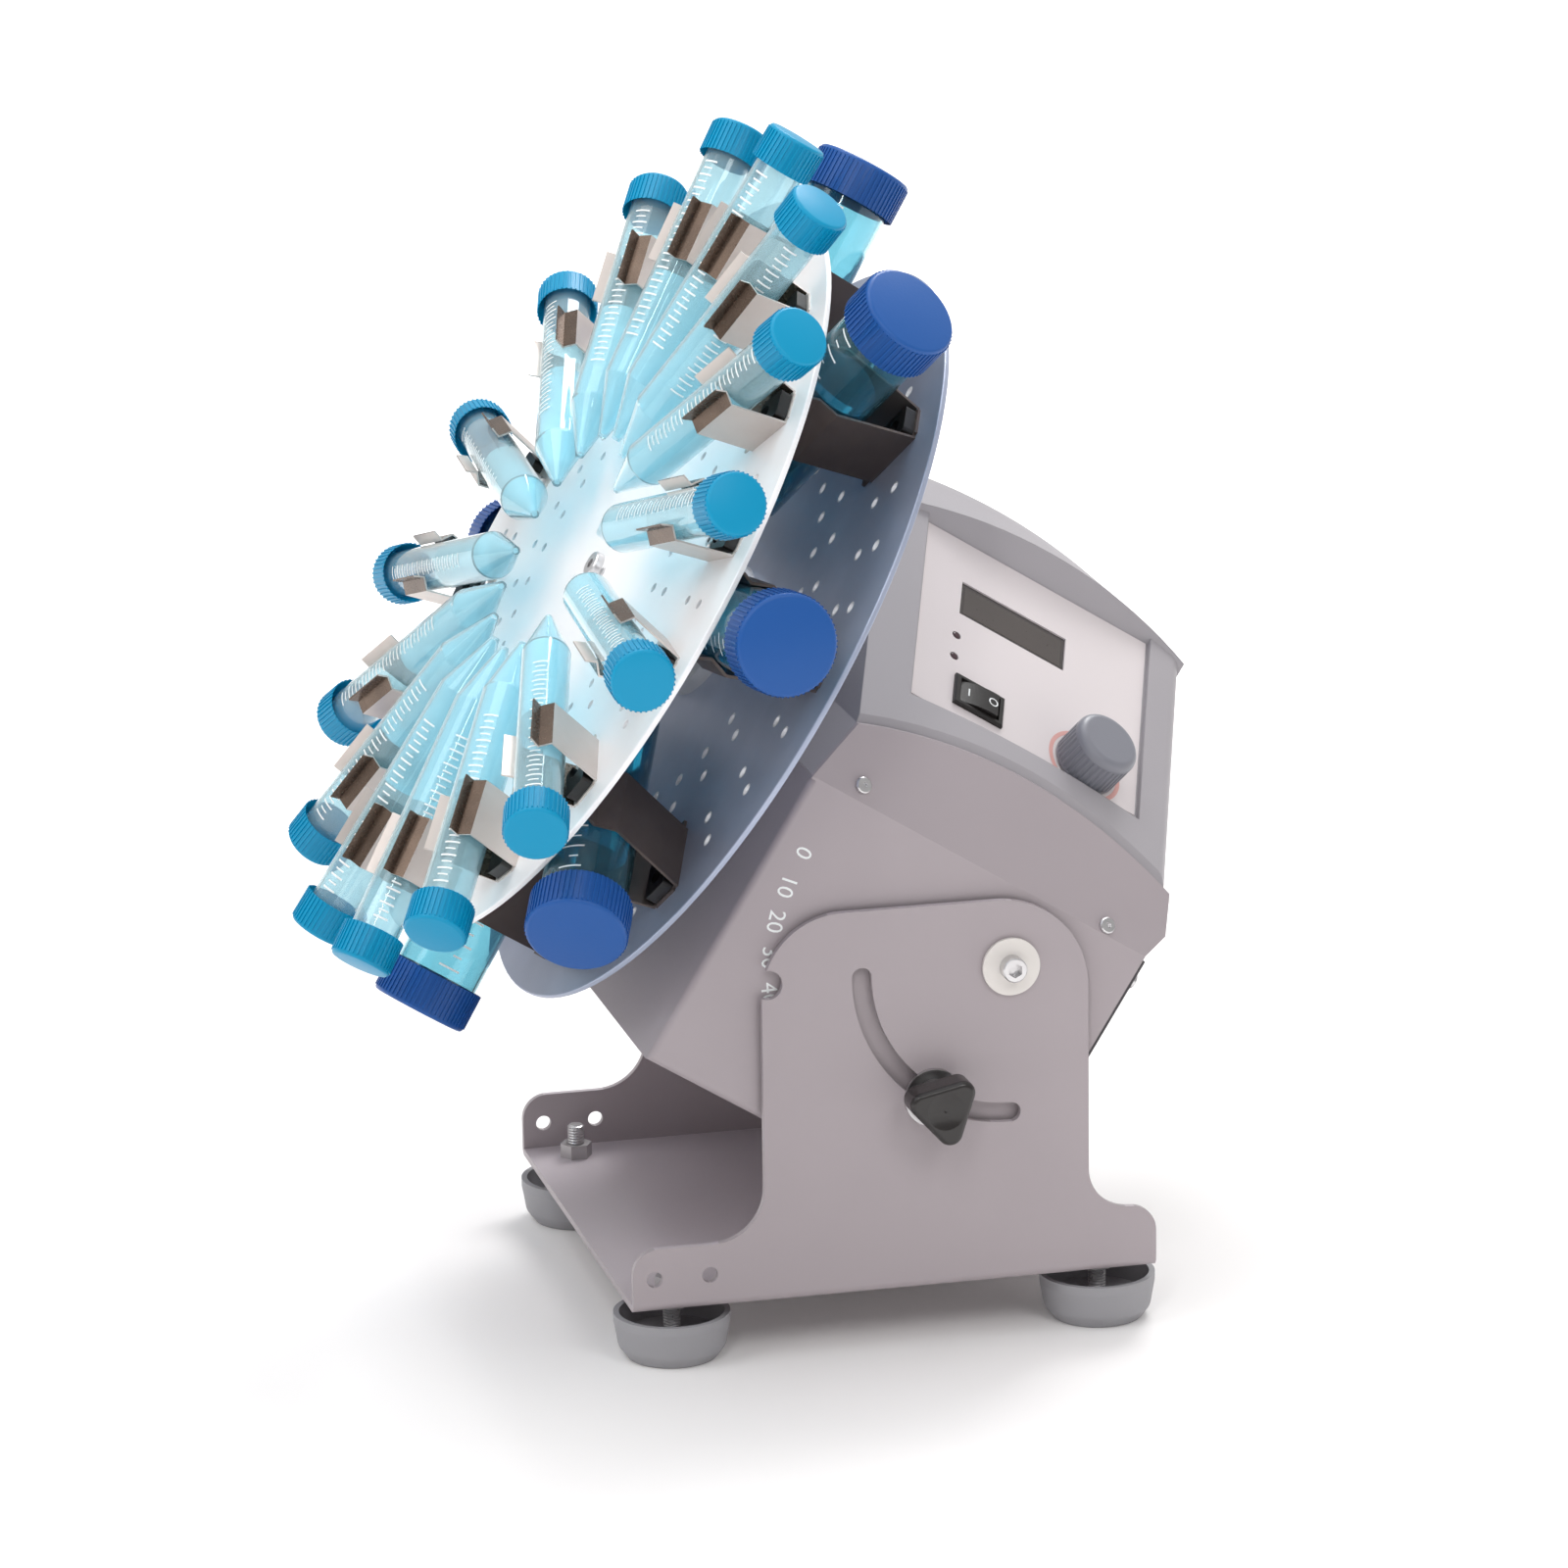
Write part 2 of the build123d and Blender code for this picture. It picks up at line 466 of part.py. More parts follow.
for a, u in LEDS:
    hood -= on_panel(a, u, rod(LED_R + SCREW_CLEAR, -3 * HOOD_WALL, 5))
for cut in on_flange(rod(M3 + THREAD_CLEAR, -10, 1)):
    hood -= cut
hood -= AXLE_AT * rod(SPINDLE_HOLE_R, -HOOD_FRONT - HOOD_WALL - 1, -HEAD_FRONT + 2)
keep("hood", HEAD * hood)
keep("shell_screws", *[HEAD * s for s in on_flange(socket_screw(M3, 6.0, *M3_HEAD))])

label = Box(label_w, label_h, LABEL["sheet"], align=(Align.CENTER, Align.CENTER, Align.MIN))
label = on_panel(label_a, label_u, label)
label -= on_panel(window_a, window_u, Box(window_w, window_h, 5))
label -= on_panel(ROCKER["a"], ROCKER["u"], Box(ROCKER["width"] - 1, ROCKER["height"] - 1, 5))
label -= on_panel(KNOB["a"], KNOB["u"], rod(3.5 + SCREW_CLEAR, -2, 5))
for a, u in LEDS:
    label -= on_panel(a, u, rod(LED_R + SCREW_CLEAR, -2, 5))
keep("panel_label", HEAD * label)

glass = Box(window_w - 0.4, window_h - 0.4, 2.0)
keep("display_window", HEAD * on_panel(window_a, window_u, glass, -1.0))
module = Box(window_w + 12, window_h + 10, 8.0)
keep("display_module", HEAD * on_panel(window_a, window_u, module, -HOOD_WALL - 4.6))
lamps = [on_panel(a, u, fillet(rod(LED_R, -6, 0.8).edges().group_by(Axis.Z)[-1], 0.7)) for a, u in LEDS]
keep("status_leds", *[HEAD * lamp for lamp in lamps])

# rocker switch: a housing with a bezel, and a rocker on two stub pins
ROCKER_TURN = 9.0                   # either side of the middle; it rests on its left side
PIN_W = 0.4                         # rocker pin above the slope
STUB_R, STUB_REACH = 0.8, 6.2
ROCKER_FIT = 0.4                    # gap between rocker and pocket
POCKET_WALL = 2.0
pocket_w = ROCKER["width"] - 2 * POCKET_WALL
pocket_h = ROCKER["height"] - 1.6 * POCKET_WALL
bezel = Pos(0, 0, LABEL["sheet"]) * extrude(Rectangle(ROCKER["width"], ROCKER["height"]), 1.6)
bezel = chamfer(bezel.edges().group_by(Axis.Z)[-1], 0.5)
well = Pos(0, 0, LABEL["sheet"]) * extrude(Rectangle(ROCKER["width"] - 1.4, ROCKER["height"] - 1.4), -20)
housing = bezel + well - Pos(0, 0, -6) * extrude(Rectangle(pocket_w, pocket_h), 12)
for x in (-6, 0, 6):
    housing += Pos(x, 0, -23) * Box(0.8, 4.6, 8)
stub_line = Pos(0, 0, PIN_W) * Rot(90, 0, 0)
housing -= stub_line * rod(STUB_R + RUN_CLEAR, -STUB_REACH - 0.1, STUB_REACH + 0.1)
keep("rocker_housing", HEAD * on_panel(ROCKER["a"], ROCKER["u"], housing))
half_w = pocket_w / 2 - 1.5 * ROCKER_FIT
half_h = pocket_h / 2 - ROCKER_FIT
shoulder, crest, root = 2.4, 3.2, -1.4      # rocker heights above the slope
dome = make_face([Line((-half_w, root), (-half_w + 0.3, shoulder)),
                  ThreePointArc((-half_w + 0.3, shoulder), (0, crest), (half_w - 0.3, shoulder)),
                  Line((half_w - 0.3, shoulder), (half_w, root)), Line((half_w, root), (-half_w, root))])
paddle = Rot(90, 0, 0) * extrude(dome, half_h, both=True) + stub_line * rod(STUB_R, -STUB_REACH, STUB_REACH)
tipped = Pos(0, 0, PIN_W) * Rot(0, -ROCKER_TURN, 0) * Pos(0, 0, -PIN_W)
keep("rocker", HEAD * on_panel(ROCKER["a"], ROCKER["u"], tipped * paddle))

# speed knob on a rotary encoder
bush = ring(3.5, SHAFT_R + RUN_CLEAR, -HOOD_WALL, LABEL["sheet"]) + Pos(0, 0, -HOOD_WALL - 5) * (
    Box(13, 13, 10) - rod(SHAFT_R + RUN_CLEAR, -1, 8))
keep("speed_encoder", HEAD * on_panel(KNOB["a"], KNOB["u"], bush))
knob_foot = LABEL["sheet"] + KNOB["foot_gap"]
keep("encoder_shaft", HEAD * on_panel(KNOB["a"], KNOB["u"], rod(SHAFT_R, -HOOD_WALL - 4, knob_foot + 10)))
grip = rod(KNOB["r"], 0, KNOB["h"])
grip = fillet(grip.edges().group_by(Axis.Z)[-1], 3.0)
FLUTES = 36
for k in range(FLUTES):
    grip -= Rot(0, 0, 360 / FLUTES * k) * Pos(KNOB["r"] + 0.35, 0, 0) * rod(0.8, 1.0, KNOB["h"] - 3.5)
grip -= rod(SHAFT_R + THREAD_CLEAR, -1, 10.2)
keep("speed_knob", HEAD * on_panel(KNOB["a"], KNOB["u"], grip, knob_foot))

# ---------------------------------------------------------------- back of the head
COVER_SHEET = 2.2
INLET = dict(y=-40.0, b=-52.0, width=27.0, height=20.0, depth=22.0)
cover_low = (HEAD_BACK, -boss_face + 1, -HEAD_DROP + 2.5)
cover_high = (HEAD_BACK + COVER_SHEET, boss_face - 1, FOLD_RISE - 2)
cover = block(cover_low, cover_high)
cover -= Pos(HEAD_BACK, INLET["y"], INLET["b"]) * Box(10, INLET["width"] + 0.4, INLET["height"] + 0.4)
for y, b in REAR_SCREWS:
    cover -= Pos(HEAD_BACK - 1, y, b) * Rot(0, 90, 0) * rod(M3 + SCREW_CLEAR, 0, 5)
VENTS = 7
for k in range(VENTS):
    cover -= Pos(HEAD_BACK, 38, -60 + 8 * k) * Box(10, 50, 2.4)
INLET_SCREW_REACH = 20.0
INLET_SCREWS = [(INLET["y"] + s * INLET_SCREW_REACH, INLET["b"]) for s in (-1, 1)]
for y, b in INLET_SCREWS:
    cover -= Pos(HEAD_BACK - 1, y, b) * Rot(0, 90, 0) * rod(M3 + THREAD_CLEAR, 0, 5)
keep("rear_cover", HEAD * cover)
cover_face = HEAD_BACK + COVER_SHEET
cover_screw = Rot(0, 90, 0) * socket_screw(M3, 6.0, *M3_HEAD)
rear_screws = [Pos(cover_face, y, b) * cover_screw for y, b in REAR_SCREWS]
keep("cover_screws", *[HEAD * s for s in rear_screws])
INLET_FLANGE = 2.5
inlet_flange = extrude(Rectangle(INLET["height"] + 4, 2 * INLET_SCREW_REACH + 10), INLET_FLANGE)
inlet_flange = fillet(inlet_flange.edges().filter_by(Axis.Z), 4)
inlet_body = extrude(Rectangle(INLET["height"], INLET["width"]), -INLET["depth"])
mouth = outline([(-8, -11.8), (8, -11.8), (8, 11.8), (-8, 11.8)], [1, 1, 5, 5])
inlet = inlet_flange + inlet_body - Pos(0, 0, -14) * extrude(mouth, 17)
for y, rise in ((-6.5, 1.5), (0, -1.5), (6.5, 1.5)):        # contact blades
    inlet += Pos(rise, y, -7) * Box(4, 2, 15)
for s in (-1, 1):
    inlet -= Pos(0, s * INLET_SCREW_REACH, 0) * rod(M3 + SCREW_CLEAR, -1, INLET_FLANGE + 1)
inlet = Pos(cover_face, INLET["y"], INLET["b"]) * Rot(0, 90, 0) * inlet
keep("power_inlet", HEAD * inlet)
inlet_screw = Rot(0, 90, 0) * socket_screw(M3, 7.0, 2.6, 1.6, 1.1)
inlet_screws = [Pos(cover_face + INLET_FLANGE, y, b) * inlet_screw for y, b in INLET_SCREWS]
keep("inlet_screws", *[HEAD * s for s in inlet_screws])

# ---------------------------------------------------------------- drive inside the head
FLOOR_B = -HEAD_DROP + CASE_SHEET
PLATE = 4.0
FRONT_PLATE_S = 72.0                # back face of the front upright, forward of the tilt axis
BACK_PLATE_S = 12.0
FRAME_HALF = 32.0                   # half width of the frame
FRAME_TOP = 24.0                    # uprights above the spindle
HOUSING_R, HOUSING_FLANGE = 16.0, 5.0
MOTOR_NOSE_R = 5.0
M4 = 2.0
frame_low = FLOOR_B
frame = block((-FRONT_PLATE_S - PLATE, -FRAME_HALF, frame_low),
              (-BACK_PLATE_S + 2, FRAME_HALF, frame_low + PLATE))
for s in (FRONT_PLATE_S, BACK_PLATE_S):
    frame += block((-s - PLATE, -FRAME_HALF, frame_low), (-s, FRAME_HALF, AXIS_RISE + FRAME_TOP))
frame -= AXLE_AT * rod(HOUSING_R + THREAD_CLEAR, FRONT_PLATE_S - 1, FRONT_PLATE_S + PLATE + 1)
frame -= AXLE_AT * rod(MOTOR_NOSE_R + 1.5, BACK_PLATE_S - 1, BACK_PLATE_S + PLATE + 1)
for a, y in FRAME_HOLES:
    frame -= Pos(a, y, frame_low - 1) * rod(M4 + THREAD_CLEAR, 0, PLATE + 2)
HOUSING_PCD_R = 20.0
MOTOR_PCD_R = 14.0


def four_around(radius):
    """Four places at 45 degrees round an axis."""
    return [Rot(0, 0, 45 + 90 * k) * Pos(radius, 0, 0) for k in range(4)]


for spot in four_around(HOUSING_PCD_R):
    frame -= AXLE_AT * spot * rod(M4 + THREAD_CLEAR, FRONT_PLATE_S - 1, FRONT_PLATE_S + PLATE + 1)
for spot in four_around(MOTOR_PCD_R):
    frame -= AXLE_AT * spot * rod(M3 + SCREW_CLEAR, BACK_PLATE_S - 1, BACK_PLATE_S + PLATE + 1)
keep("drive_frame", HEAD * frame)
drive_screw = Rot(180, 0, 0) * socket_screw(M4, 8.0, 3.6, 3.0, 1.6)
frame_screws = [HEAD * Pos(a, y, -HEAD_DROP) * drive_screw for a, y in FRAME_HOLES]

BEARING_R, BEARING_H = 14.0, 8.0
BEARING_SEAT = 0.02                 # bearing in its housing
BEARING_BORE = 0.03                 # spindle in the bearing
housing_back = FRONT_PLATE_S - 22.0
housing_front = FRONT_PLATE_S + PLATE + 2
bearing_house = ring(HOUSING_R, BEARING_R + BEARING_SEAT, housing_back, housing_front)
bearing_house += ring(25.0, BEARING_R + BEARING_SEAT, FRONT_PLATE_S - HOUSING_FLANGE, FRONT_PLATE_S)
for spot in four_around(HOUSING_PCD_R):
    bearing_house -= spot * rod(M4 + SCREW_CLEAR, FRONT_PLATE_S - HOUSING_FLANGE - 1, FRONT_PLATE_S + 1)
keep("bearing_housing", DRUM * bearing_house)
bearing_at = (housing_back + 0.5, housing_front - 0.5 - BEARING_H)
bearings = [ring(BEARING_R, SPINDLE_R + BEARING_BORE, s, s + BEARING_H) for s in bearing_at]
keep("spindle_bearings", *[DRUM * b for b in bearings])
house_screws = [DRUM * spot * Pos(0, 0, FRONT_PLATE_S - HOUSING_FLANGE) * drive_screw
                for spot in four_around(HOUSING_PCD_R)]
keep("drive_screws", *frame_screws, *house_screws)

MOTOR_R, MOTOR_LENGTH = 18.5, 48.0
MOTOR_SHAFT_R = 3.0
GEARBOX_LENGTH = 20.0
motor = rod(MOTOR_R, BACK_PLATE_S - GEARBOX_LENGTH, BACK_PLATE_S)
motor += rod(MOTOR_R - 1.5, BACK_PLATE_S - MOTOR_LENGTH, BACK_PLATE_S - GEARBOX_LENGTH)
motor += rod(MOTOR_NOSE_R, BACK_PLATE_S, BACK_PLATE_S + 3)
motor -= rod(MOTOR_SHAFT_R + RUN_CLEAR, BACK_PLATE_S - 15, BACK_PLATE_S + 4)
motor_face = BACK_PLATE_S + PLATE
motor_screw = Pos(0, 0, motor_face) * socket_screw(M3, 8.0, 2.6, 2.4, 1.2)
for spot in four_around(MOTOR_PCD_R):
    motor -= spot * rod(M3 + THREAD_CLEAR, BACK_PLATE_S - 6, BACK_PLATE_S + 1)
keep("gear_motor", DRUM * motor)
keep("motor_screws", *[DRUM * spot * motor_screw for spot in four_around(MOTOR_PCD_R)])
COUPLING = dict(r=10.0, low=19.0, high=45.0, split=31.0)
keep("motor_shaft", DRUM * rod(MOTOR_SHAFT_R, BACK_PLATE_S - 14, COUPLING["split"] - 0.5))
coupling = rod(COUPLING["r"], COUPLING["low"], COUPLING["high"])
coupling -= rod(MOTOR_SHAFT_R + THREAD_CLEAR, 0, COUPLING["split"])
coupling -= rod(SPINDLE_R + THREAD_CLEAR, COUPLING["split"], COUPLING["high"] + 1)
keep("shaft_coupling", DRUM * coupling)

POST_H, BOARD_SHEET = 6.0, 1.6
board_top = FLOOR_B + POST_H + BOARD_SHEET
board = block((-66, 38, FLOOR_B + POST_H), (30, 82, board_top))
for a, y, size in ((-50, 50, 14), (-20, 62, 18), (8, 50, 12), (8, 72, 10)):
    half = size / 2
    board += block((a - half, y - half, board_top - 0.5), (a + half, y + half, board_top + 0.7 * size))
keep("control_board", HEAD * board)
posts = [Pos(a, y, FLOOR_B) * rod(3, 0, POST_H) for a in (-60, 24) for y in (43, 77)]
keep("board_posts", *[HEAD * p for p in posts])
keep("power_supply", HEAD * fillet(block((-70, -78, FLOOR_B), (14, -36, FLOOR_B + 30)).edges(), 1.5))

# ---------------------------------------------------------------- turning drum
disc_front = FRONT_DISC_S + DISC_SHEET
rear_face = REAR_DISC_S + DISC_SHEET
TAP_R = 2.5
HUB = dict(r=25.0, boss=14.0, low=99.0, flange=6.0, pcd_r=18.0)
spindle = rod(SPINDLE_R, COUPLING["split"] + 0.5, FRONT_DISC_S)
spindle -= rod(TAP_R + THREAD_CLEAR, FRONT_DISC_S - 16, FRONT_DISC_S + 1)
keep("spindle", DRUM * spindle)
hub = rod(HUB["r"], REAR_DISC_S - HUB["flange"], REAR_DISC_S) + rod(HUB["boss"], HUB["low"], REAR_DISC_S)
spindle_bore = rod(SPINDLE_R + THREAD_CLEAR, 0, FRONT_DISC_S + 1)
hub -= spindle_bore
SLEEVE_FLANGE = 5.0
sleeve = rod(HUB["r"], rear_face, rear_face + SLEEVE_FLANGE) + rod(SPINDLE_R + 4, rear_face, FRONT_DISC_S)
sleeve -= spindle_bore
PIN_R = 1.5
PIN_AT = SPINDLE_R + 2.2
hub_screws = []
hub_screw = Rot(180, 0, 0) * socket_screw(M4, HUB["flange"] + DISC_SHEET + 4, 3.6, 3.5, 1.6)
for spot in four_around(HUB["pcd_r"]):
    hub -= spot * rod(M4 + SCREW_CLEAR, HUB["low"] - 1, REAR_DISC_S + 1)
    sleeve -= spot * rod(M4 + THREAD_CLEAR, rear_face - 1, rear_face + SLEEVE_FLANGE + 1)
    hub_screws.append(spot * Pos(0, 0, REAR_DISC_S - HUB["flange"]) * hub_screw)
pin_spots = [Rot(0, 0, 90 * k) * Pos(PIN_AT, 0, 0) for k in (1, 3)]
for spot in pin_spots:
    sleeve -= spot * rod(PIN_R + THREAD_CLEAR, FRONT_DISC_S - 6, FRONT_DISC_S + 1)
keep("hub", DRUM * hub)
keep("spacer_sleeve", DRUM * sleeve)
keep("hub_screws", *[DRUM * s for s in hub_screws])
keep("drive_pins", *[DRUM * spot * rod(PIN_R, FRONT_DISC_S - 6, disc_front + 0.6) for spot in pin_spots])
centre_screw = Pos(0, 0, disc_front) * socket_screw(TAP_R, 14.0, 4.7, 3.0, 1.9)
keep("centre_screw", DRUM * centre_screw)


def drilled_disc(inner_count, outer_count, inner_turn, outer_turn, centre_r):
    """A disc face with radial pairs of clip holes on an inner and an outer ring."""
    inner_step, outer_step = 360 / inner_count, 360 / outer_count
    spots = [(row, inner_turn + inner_step * k) for row in HOLE_ROWS[:2] for k in range(inner_count)]
    spots += [(row, outer_turn + outer_step * k) for row in HOLE_ROWS[2:] for k in range(outer_count)]
    holes = [Rot(0, 0, turn) * Pos(row, 0) * Circle(HOLE_R) for row, turn in spots]
    return Circle(DISC_R) - holes - Circle(centre_r)


def finish_disc(face, low):
    """A sheet disc with its rim edges softened."""
    disc = Pos(0, 0, low) * extrude(face, DISC_SHEET)
    rims = [e for e in disc.edges().filter_by(GeomType.CIRCLE) if abs(e.radius - DISC_R) < 0.01]
    return fillet(rims, DISC_EDGE)


STEP_15 = 360 / TUBES_15
TURN_15 = -PHASE_15
TURN_50 = -PHASE_15 + STEP_15 / 2
front_face_sketch = drilled_disc(2 * TUBES_15, 2 * TUBES_15, TURN_15, TURN_15, TAP_R + SCREW_CLEAR)
front_face_sketch -= [Rot(0, 0, 90 * k) * Pos(PIN_AT, 0) * Circle(PIN_R + THREAD_CLEAR) for k in (1, 3)]
keep("front_disc", DRUM * finish_disc(front_face_sketch, FRONT_DISC_S))
rear_face_sketch = drilled_disc(26, 4 * TUBES_50, TURN_50 - 15.5, TURN_50, SPINDLE_R + THREAD_CLEAR)
rear_face_sketch -= [spot * Circle(M4 + SCREW_CLEAR) for spot in four_around(HUB["pcd_r"])]
keep("rear_disc", DRUM * finish_disc(rear_face_sketch, REAR_DISC_S))


PAD_H = 4.0
PAD_CORNER = 1.5
CAP_EDGE = 1.0
CAP_SLACK = 0.05             # gap between a cap, its tube and the filling


def spring_clip(clip):
    """A bent spring clip: a flat foot with two legs that close over the tube.

    Local X is radial, Y across the tube and Z away from the disc."""
    legs = clip["legs"]
    mirror_legs = [(-t, h) for t, h in legs]
    section = strip(mirror_legs[::-1] + legs, clip["sheet"])
    inner = clip["mid"] - clip["length"] / 2
    outer = clip["mid"] + clip["length"] / 2
    standing = Plane(origin=(inner, 0, 0), x_dir=(0, 1, 0), z_dir=(1, 0, 0)).location
    bent = standing * extrude(section, clip["length"])
    foot_half = legs[0][0] - 1.5
    foot = block((inner - 5, -foot_half, 0), (outer + 1, foot_half, clip["sheet"]))
    clip_body = bent + foot
    for row in HOLE_ROWS[2:]:
        clip_body -= Pos(row, 0, 0) * rod(M3 + SCREW_CLEAR, -1, 3)
    return clip_body


def clip_pad(clip):
    """The dark pad between the clip's legs that the tube rests on, with holes for the screws."""
    half = clip["legs"][0][0] - 1.2
    outer = clip["mid"] + clip["length"] / 2
    pad = block((clip["mid"] - 2, -half, clip["sheet"]), (outer, half, clip["sheet"] + PAD_H))
    pad = fillet(pad.edges().filter_by(Axis.Z), PAD_CORNER)
    for row in HOLE_ROWS[2:]:
        pad -= Pos(row, 0, 0) * rod(3.2, 0, 20)
    return pad


def tube_solids(tube):
    """Shell, cap and filling of a conical tube: local Z runs from the tip to the cap."""
    r, wall, cone, tip = tube["r"], tube["wall"], tube["cone"], tube["tip"]
    top = tube["length"] - 1.5
    shell_section = Polyline((0, 0), (tip, 0), (r, cone), (r, top), (r - wall, top), (r - wall, cone),
                             (tip - wall * 0.5, wall), (0, wall), close=True)
    shell = revolve(Plane.XZ * make_face(shell_section), Axis.Z)
    slack = CAP_SLACK
    cap_low = tube["length"] - tube["cap_h"]
    cap = rod(tube["cap_r"], cap_low, tube["length"])
    cap = fillet(cap.edges().group_by(Axis.Z)[-1], CAP_EDGE)
    cap -= rod(r + slack, cap_low - 1, top + slack)
    level = tube["fill"]
    bore = r - wall - slack
    low = wall + slack
    fill_section = Polyline((0, low), (tip - wall / 2 - slack, low), (bore, cone), (bore, level),
                            (0, level), close=True)
    filling = revolve(Plane.XZ * make_face(fill_section), Axis.Z)
    return shell, cap, filling


def drum_set(name, seats, turn, tube, clip, disc_face):
    """All clips, pads, screws and tubes of one disc, with each tube at its own seat."""
    clip_shape = Pos(0, 0, disc_face) * spring_clip(clip)
    pad_shape = Pos(0, 0, disc_face) * clip_pad(clip)
    screws = []
    for row in HOLE_ROWS[2:]:
        screw = socket_screw(M3, DISC_SHEET + 2.0, 2.7, 2.0, 1.1)
        screws.append(Pos(row, 0, disc_face + clip["sheet"]) * screw)
    lay = Pos(tube["tip_at"], 0, disc_face + tube["lift"]) * Rot(0, 90, 0)
    pieces = {"tubes": [], "caps": [], "fill": [], "clips": [], "pads": [], "screws": []}
    shell, cap, filling = [lay * s for s in tube_solids(tube)]
    for k, seat in enumerate(seats):
        at = DRUM * Rot(0, 0, turn - 360 / len(seats) * k)
        pushed = at * Pos(-seat, 0, 0)
        pieces["tubes"].append(pushed * shell)
        pieces["caps"].append(pushed * cap)
        pieces["fill"].append(pushed * filling)
        pieces["clips"].append(at * clip_shape)
        pieces["pads"].append(at * pad_shape)
        pieces["screws"] += [at * s for s in screws]
    for kind, shapes in pieces.items():
        keep(f"{kind}_{name}", *shapes)


drum_set("15ml", SEATS_15, TURN_15, TUBE_15, CLIP_15, disc_front)
drum_set("50ml", SEATS_50, TURN_50, TUBE_50, CLIP_50, rear_face)

# ---------------------------------------------------------------- export
# The row's origin is the bottom centre of the whole object's box.
box = Compound(list(nodes.values())).bounding_box()
SHIFT = Pos(-(box.min.X + box.max.X) / 2, -(box.min.Y + box.max.Y) / 2, -box.min.Z)
for node_name, shape in nodes.items():
    export_step(SHIFT * shape, f"parts/{node_name}.step")
print(len(nodes), "nodes; box", [round(v, 2) for v in box.size])
print("shift", [round(v, 4) for v in SHIFT.position])
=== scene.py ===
# %% [markdown]
# # Finishing a tilting tube rotator
# The object is a bench instrument: a folded stand, a tilting head, and a drum of two drilled discs with clipped
# tubes. The construction is loaded as a fixed frame. This lesson adds the camera, the light, the finishes and the
# small pieces that a construction model leaves out, such as ribbed caps, printed scales and numbers.

# %% Load the frame
import json
import math
import random
import bmesh
import bpy
from mathutils import Matrix, Vector


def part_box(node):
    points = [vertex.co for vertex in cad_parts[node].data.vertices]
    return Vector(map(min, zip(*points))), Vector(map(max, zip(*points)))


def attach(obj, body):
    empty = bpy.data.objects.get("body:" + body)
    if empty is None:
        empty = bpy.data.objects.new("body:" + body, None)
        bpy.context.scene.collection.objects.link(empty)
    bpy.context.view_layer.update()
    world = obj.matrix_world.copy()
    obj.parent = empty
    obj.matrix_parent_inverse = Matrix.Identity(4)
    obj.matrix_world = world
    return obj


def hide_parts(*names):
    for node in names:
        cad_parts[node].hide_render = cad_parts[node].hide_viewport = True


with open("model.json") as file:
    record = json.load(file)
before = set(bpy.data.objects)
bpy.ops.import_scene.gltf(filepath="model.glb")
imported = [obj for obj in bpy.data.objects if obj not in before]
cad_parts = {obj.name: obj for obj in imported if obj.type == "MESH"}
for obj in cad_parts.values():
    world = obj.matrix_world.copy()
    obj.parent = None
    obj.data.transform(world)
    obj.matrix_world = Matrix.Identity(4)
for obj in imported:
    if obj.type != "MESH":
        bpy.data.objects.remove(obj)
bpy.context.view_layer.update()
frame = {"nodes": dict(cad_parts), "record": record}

record = frame["record"]

# %% [markdown]
# ## Places, read from the frame
# The pieces have to sit on the construction exactly, at any tilt of the head. They could be placed by typed
# coordinates, but those go stale when a size changes, so every place comes from the frame: the joints give the tilt
# axis, the spindle and the control panel's directions, and the boxes of the nodes give the rest. The "drum axes" are
# forward along the spindle, up across it, and across towards the near side.

# %% Axes
JOINTS = {j["name"]: j for j in record["behaviour"]["joints"]}
TILT_AT = Vector(JOINTS["head_tilt"]["pos_m"])
SPIN_AT = Vector(JOINTS["drum_spin"]["pos_m"])
FORWARD = Vector(JOINTS["drum_spin"]["axis"]).normalized()
ACROSS = Vector((0, -1, 0))
AWAY = -ACROSS
DRUM_UP = FORWARD.cross(ACROSS).normalized()
if DRUM_UP.z < 0:
    DRUM_UP.negate()
PANEL_N = Vector(JOINTS["speed_turn"]["axis"]).normalized()
PANEL_UP = Vector(JOINTS["rocker_tip"]["axis"]).normalized()
PANEL_RIGHT = PANEL_UP.cross(PANEL_N).normalized()
print("tilt", [round(v, 4) for v in TILT_AT], "forward", [round(v, 3) for v in FORWARD])


# %% Measuring helpers
def corners(node):
    """The vertices of a node, which are in the row frame."""
    return [v.co for v in frame["nodes"][node].data.vertices]


def span(node, origin, direction):
    """Lowest and highest distance of a node's vertices from an origin, along a direction."""
    reach = [(co - origin).dot(direction) for co in corners(node)]
    return min(reach), max(reach)


def centre(node):
    """The middle of a node's box."""
    low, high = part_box(node)
    return (Vector(low) + Vector(high)) / 2


def frame_matrix(x, y, z, place):
    """A matrix that carries local X, Y and Z onto three directions at a place."""
    return Matrix.Translation(place) @ Matrix((x, y, z)).transposed().to_4x4()


def drum_angle(place):
    """The angle of a place round the spindle, from the drum's up towards the far side."""
    return math.atan2(place.dot(AWAY), place.dot(DRUM_UP))


def radial(angle):
    """The direction across the spindle at such an angle."""
    return DRUM_UP * math.cos(angle) + AWAY * math.sin(angle)


def tangent(angle):
    """The direction in which radial() turns."""
    return AWAY * math.cos(angle) - DRUM_UP * math.sin(angle)


print("measuring helpers ready")


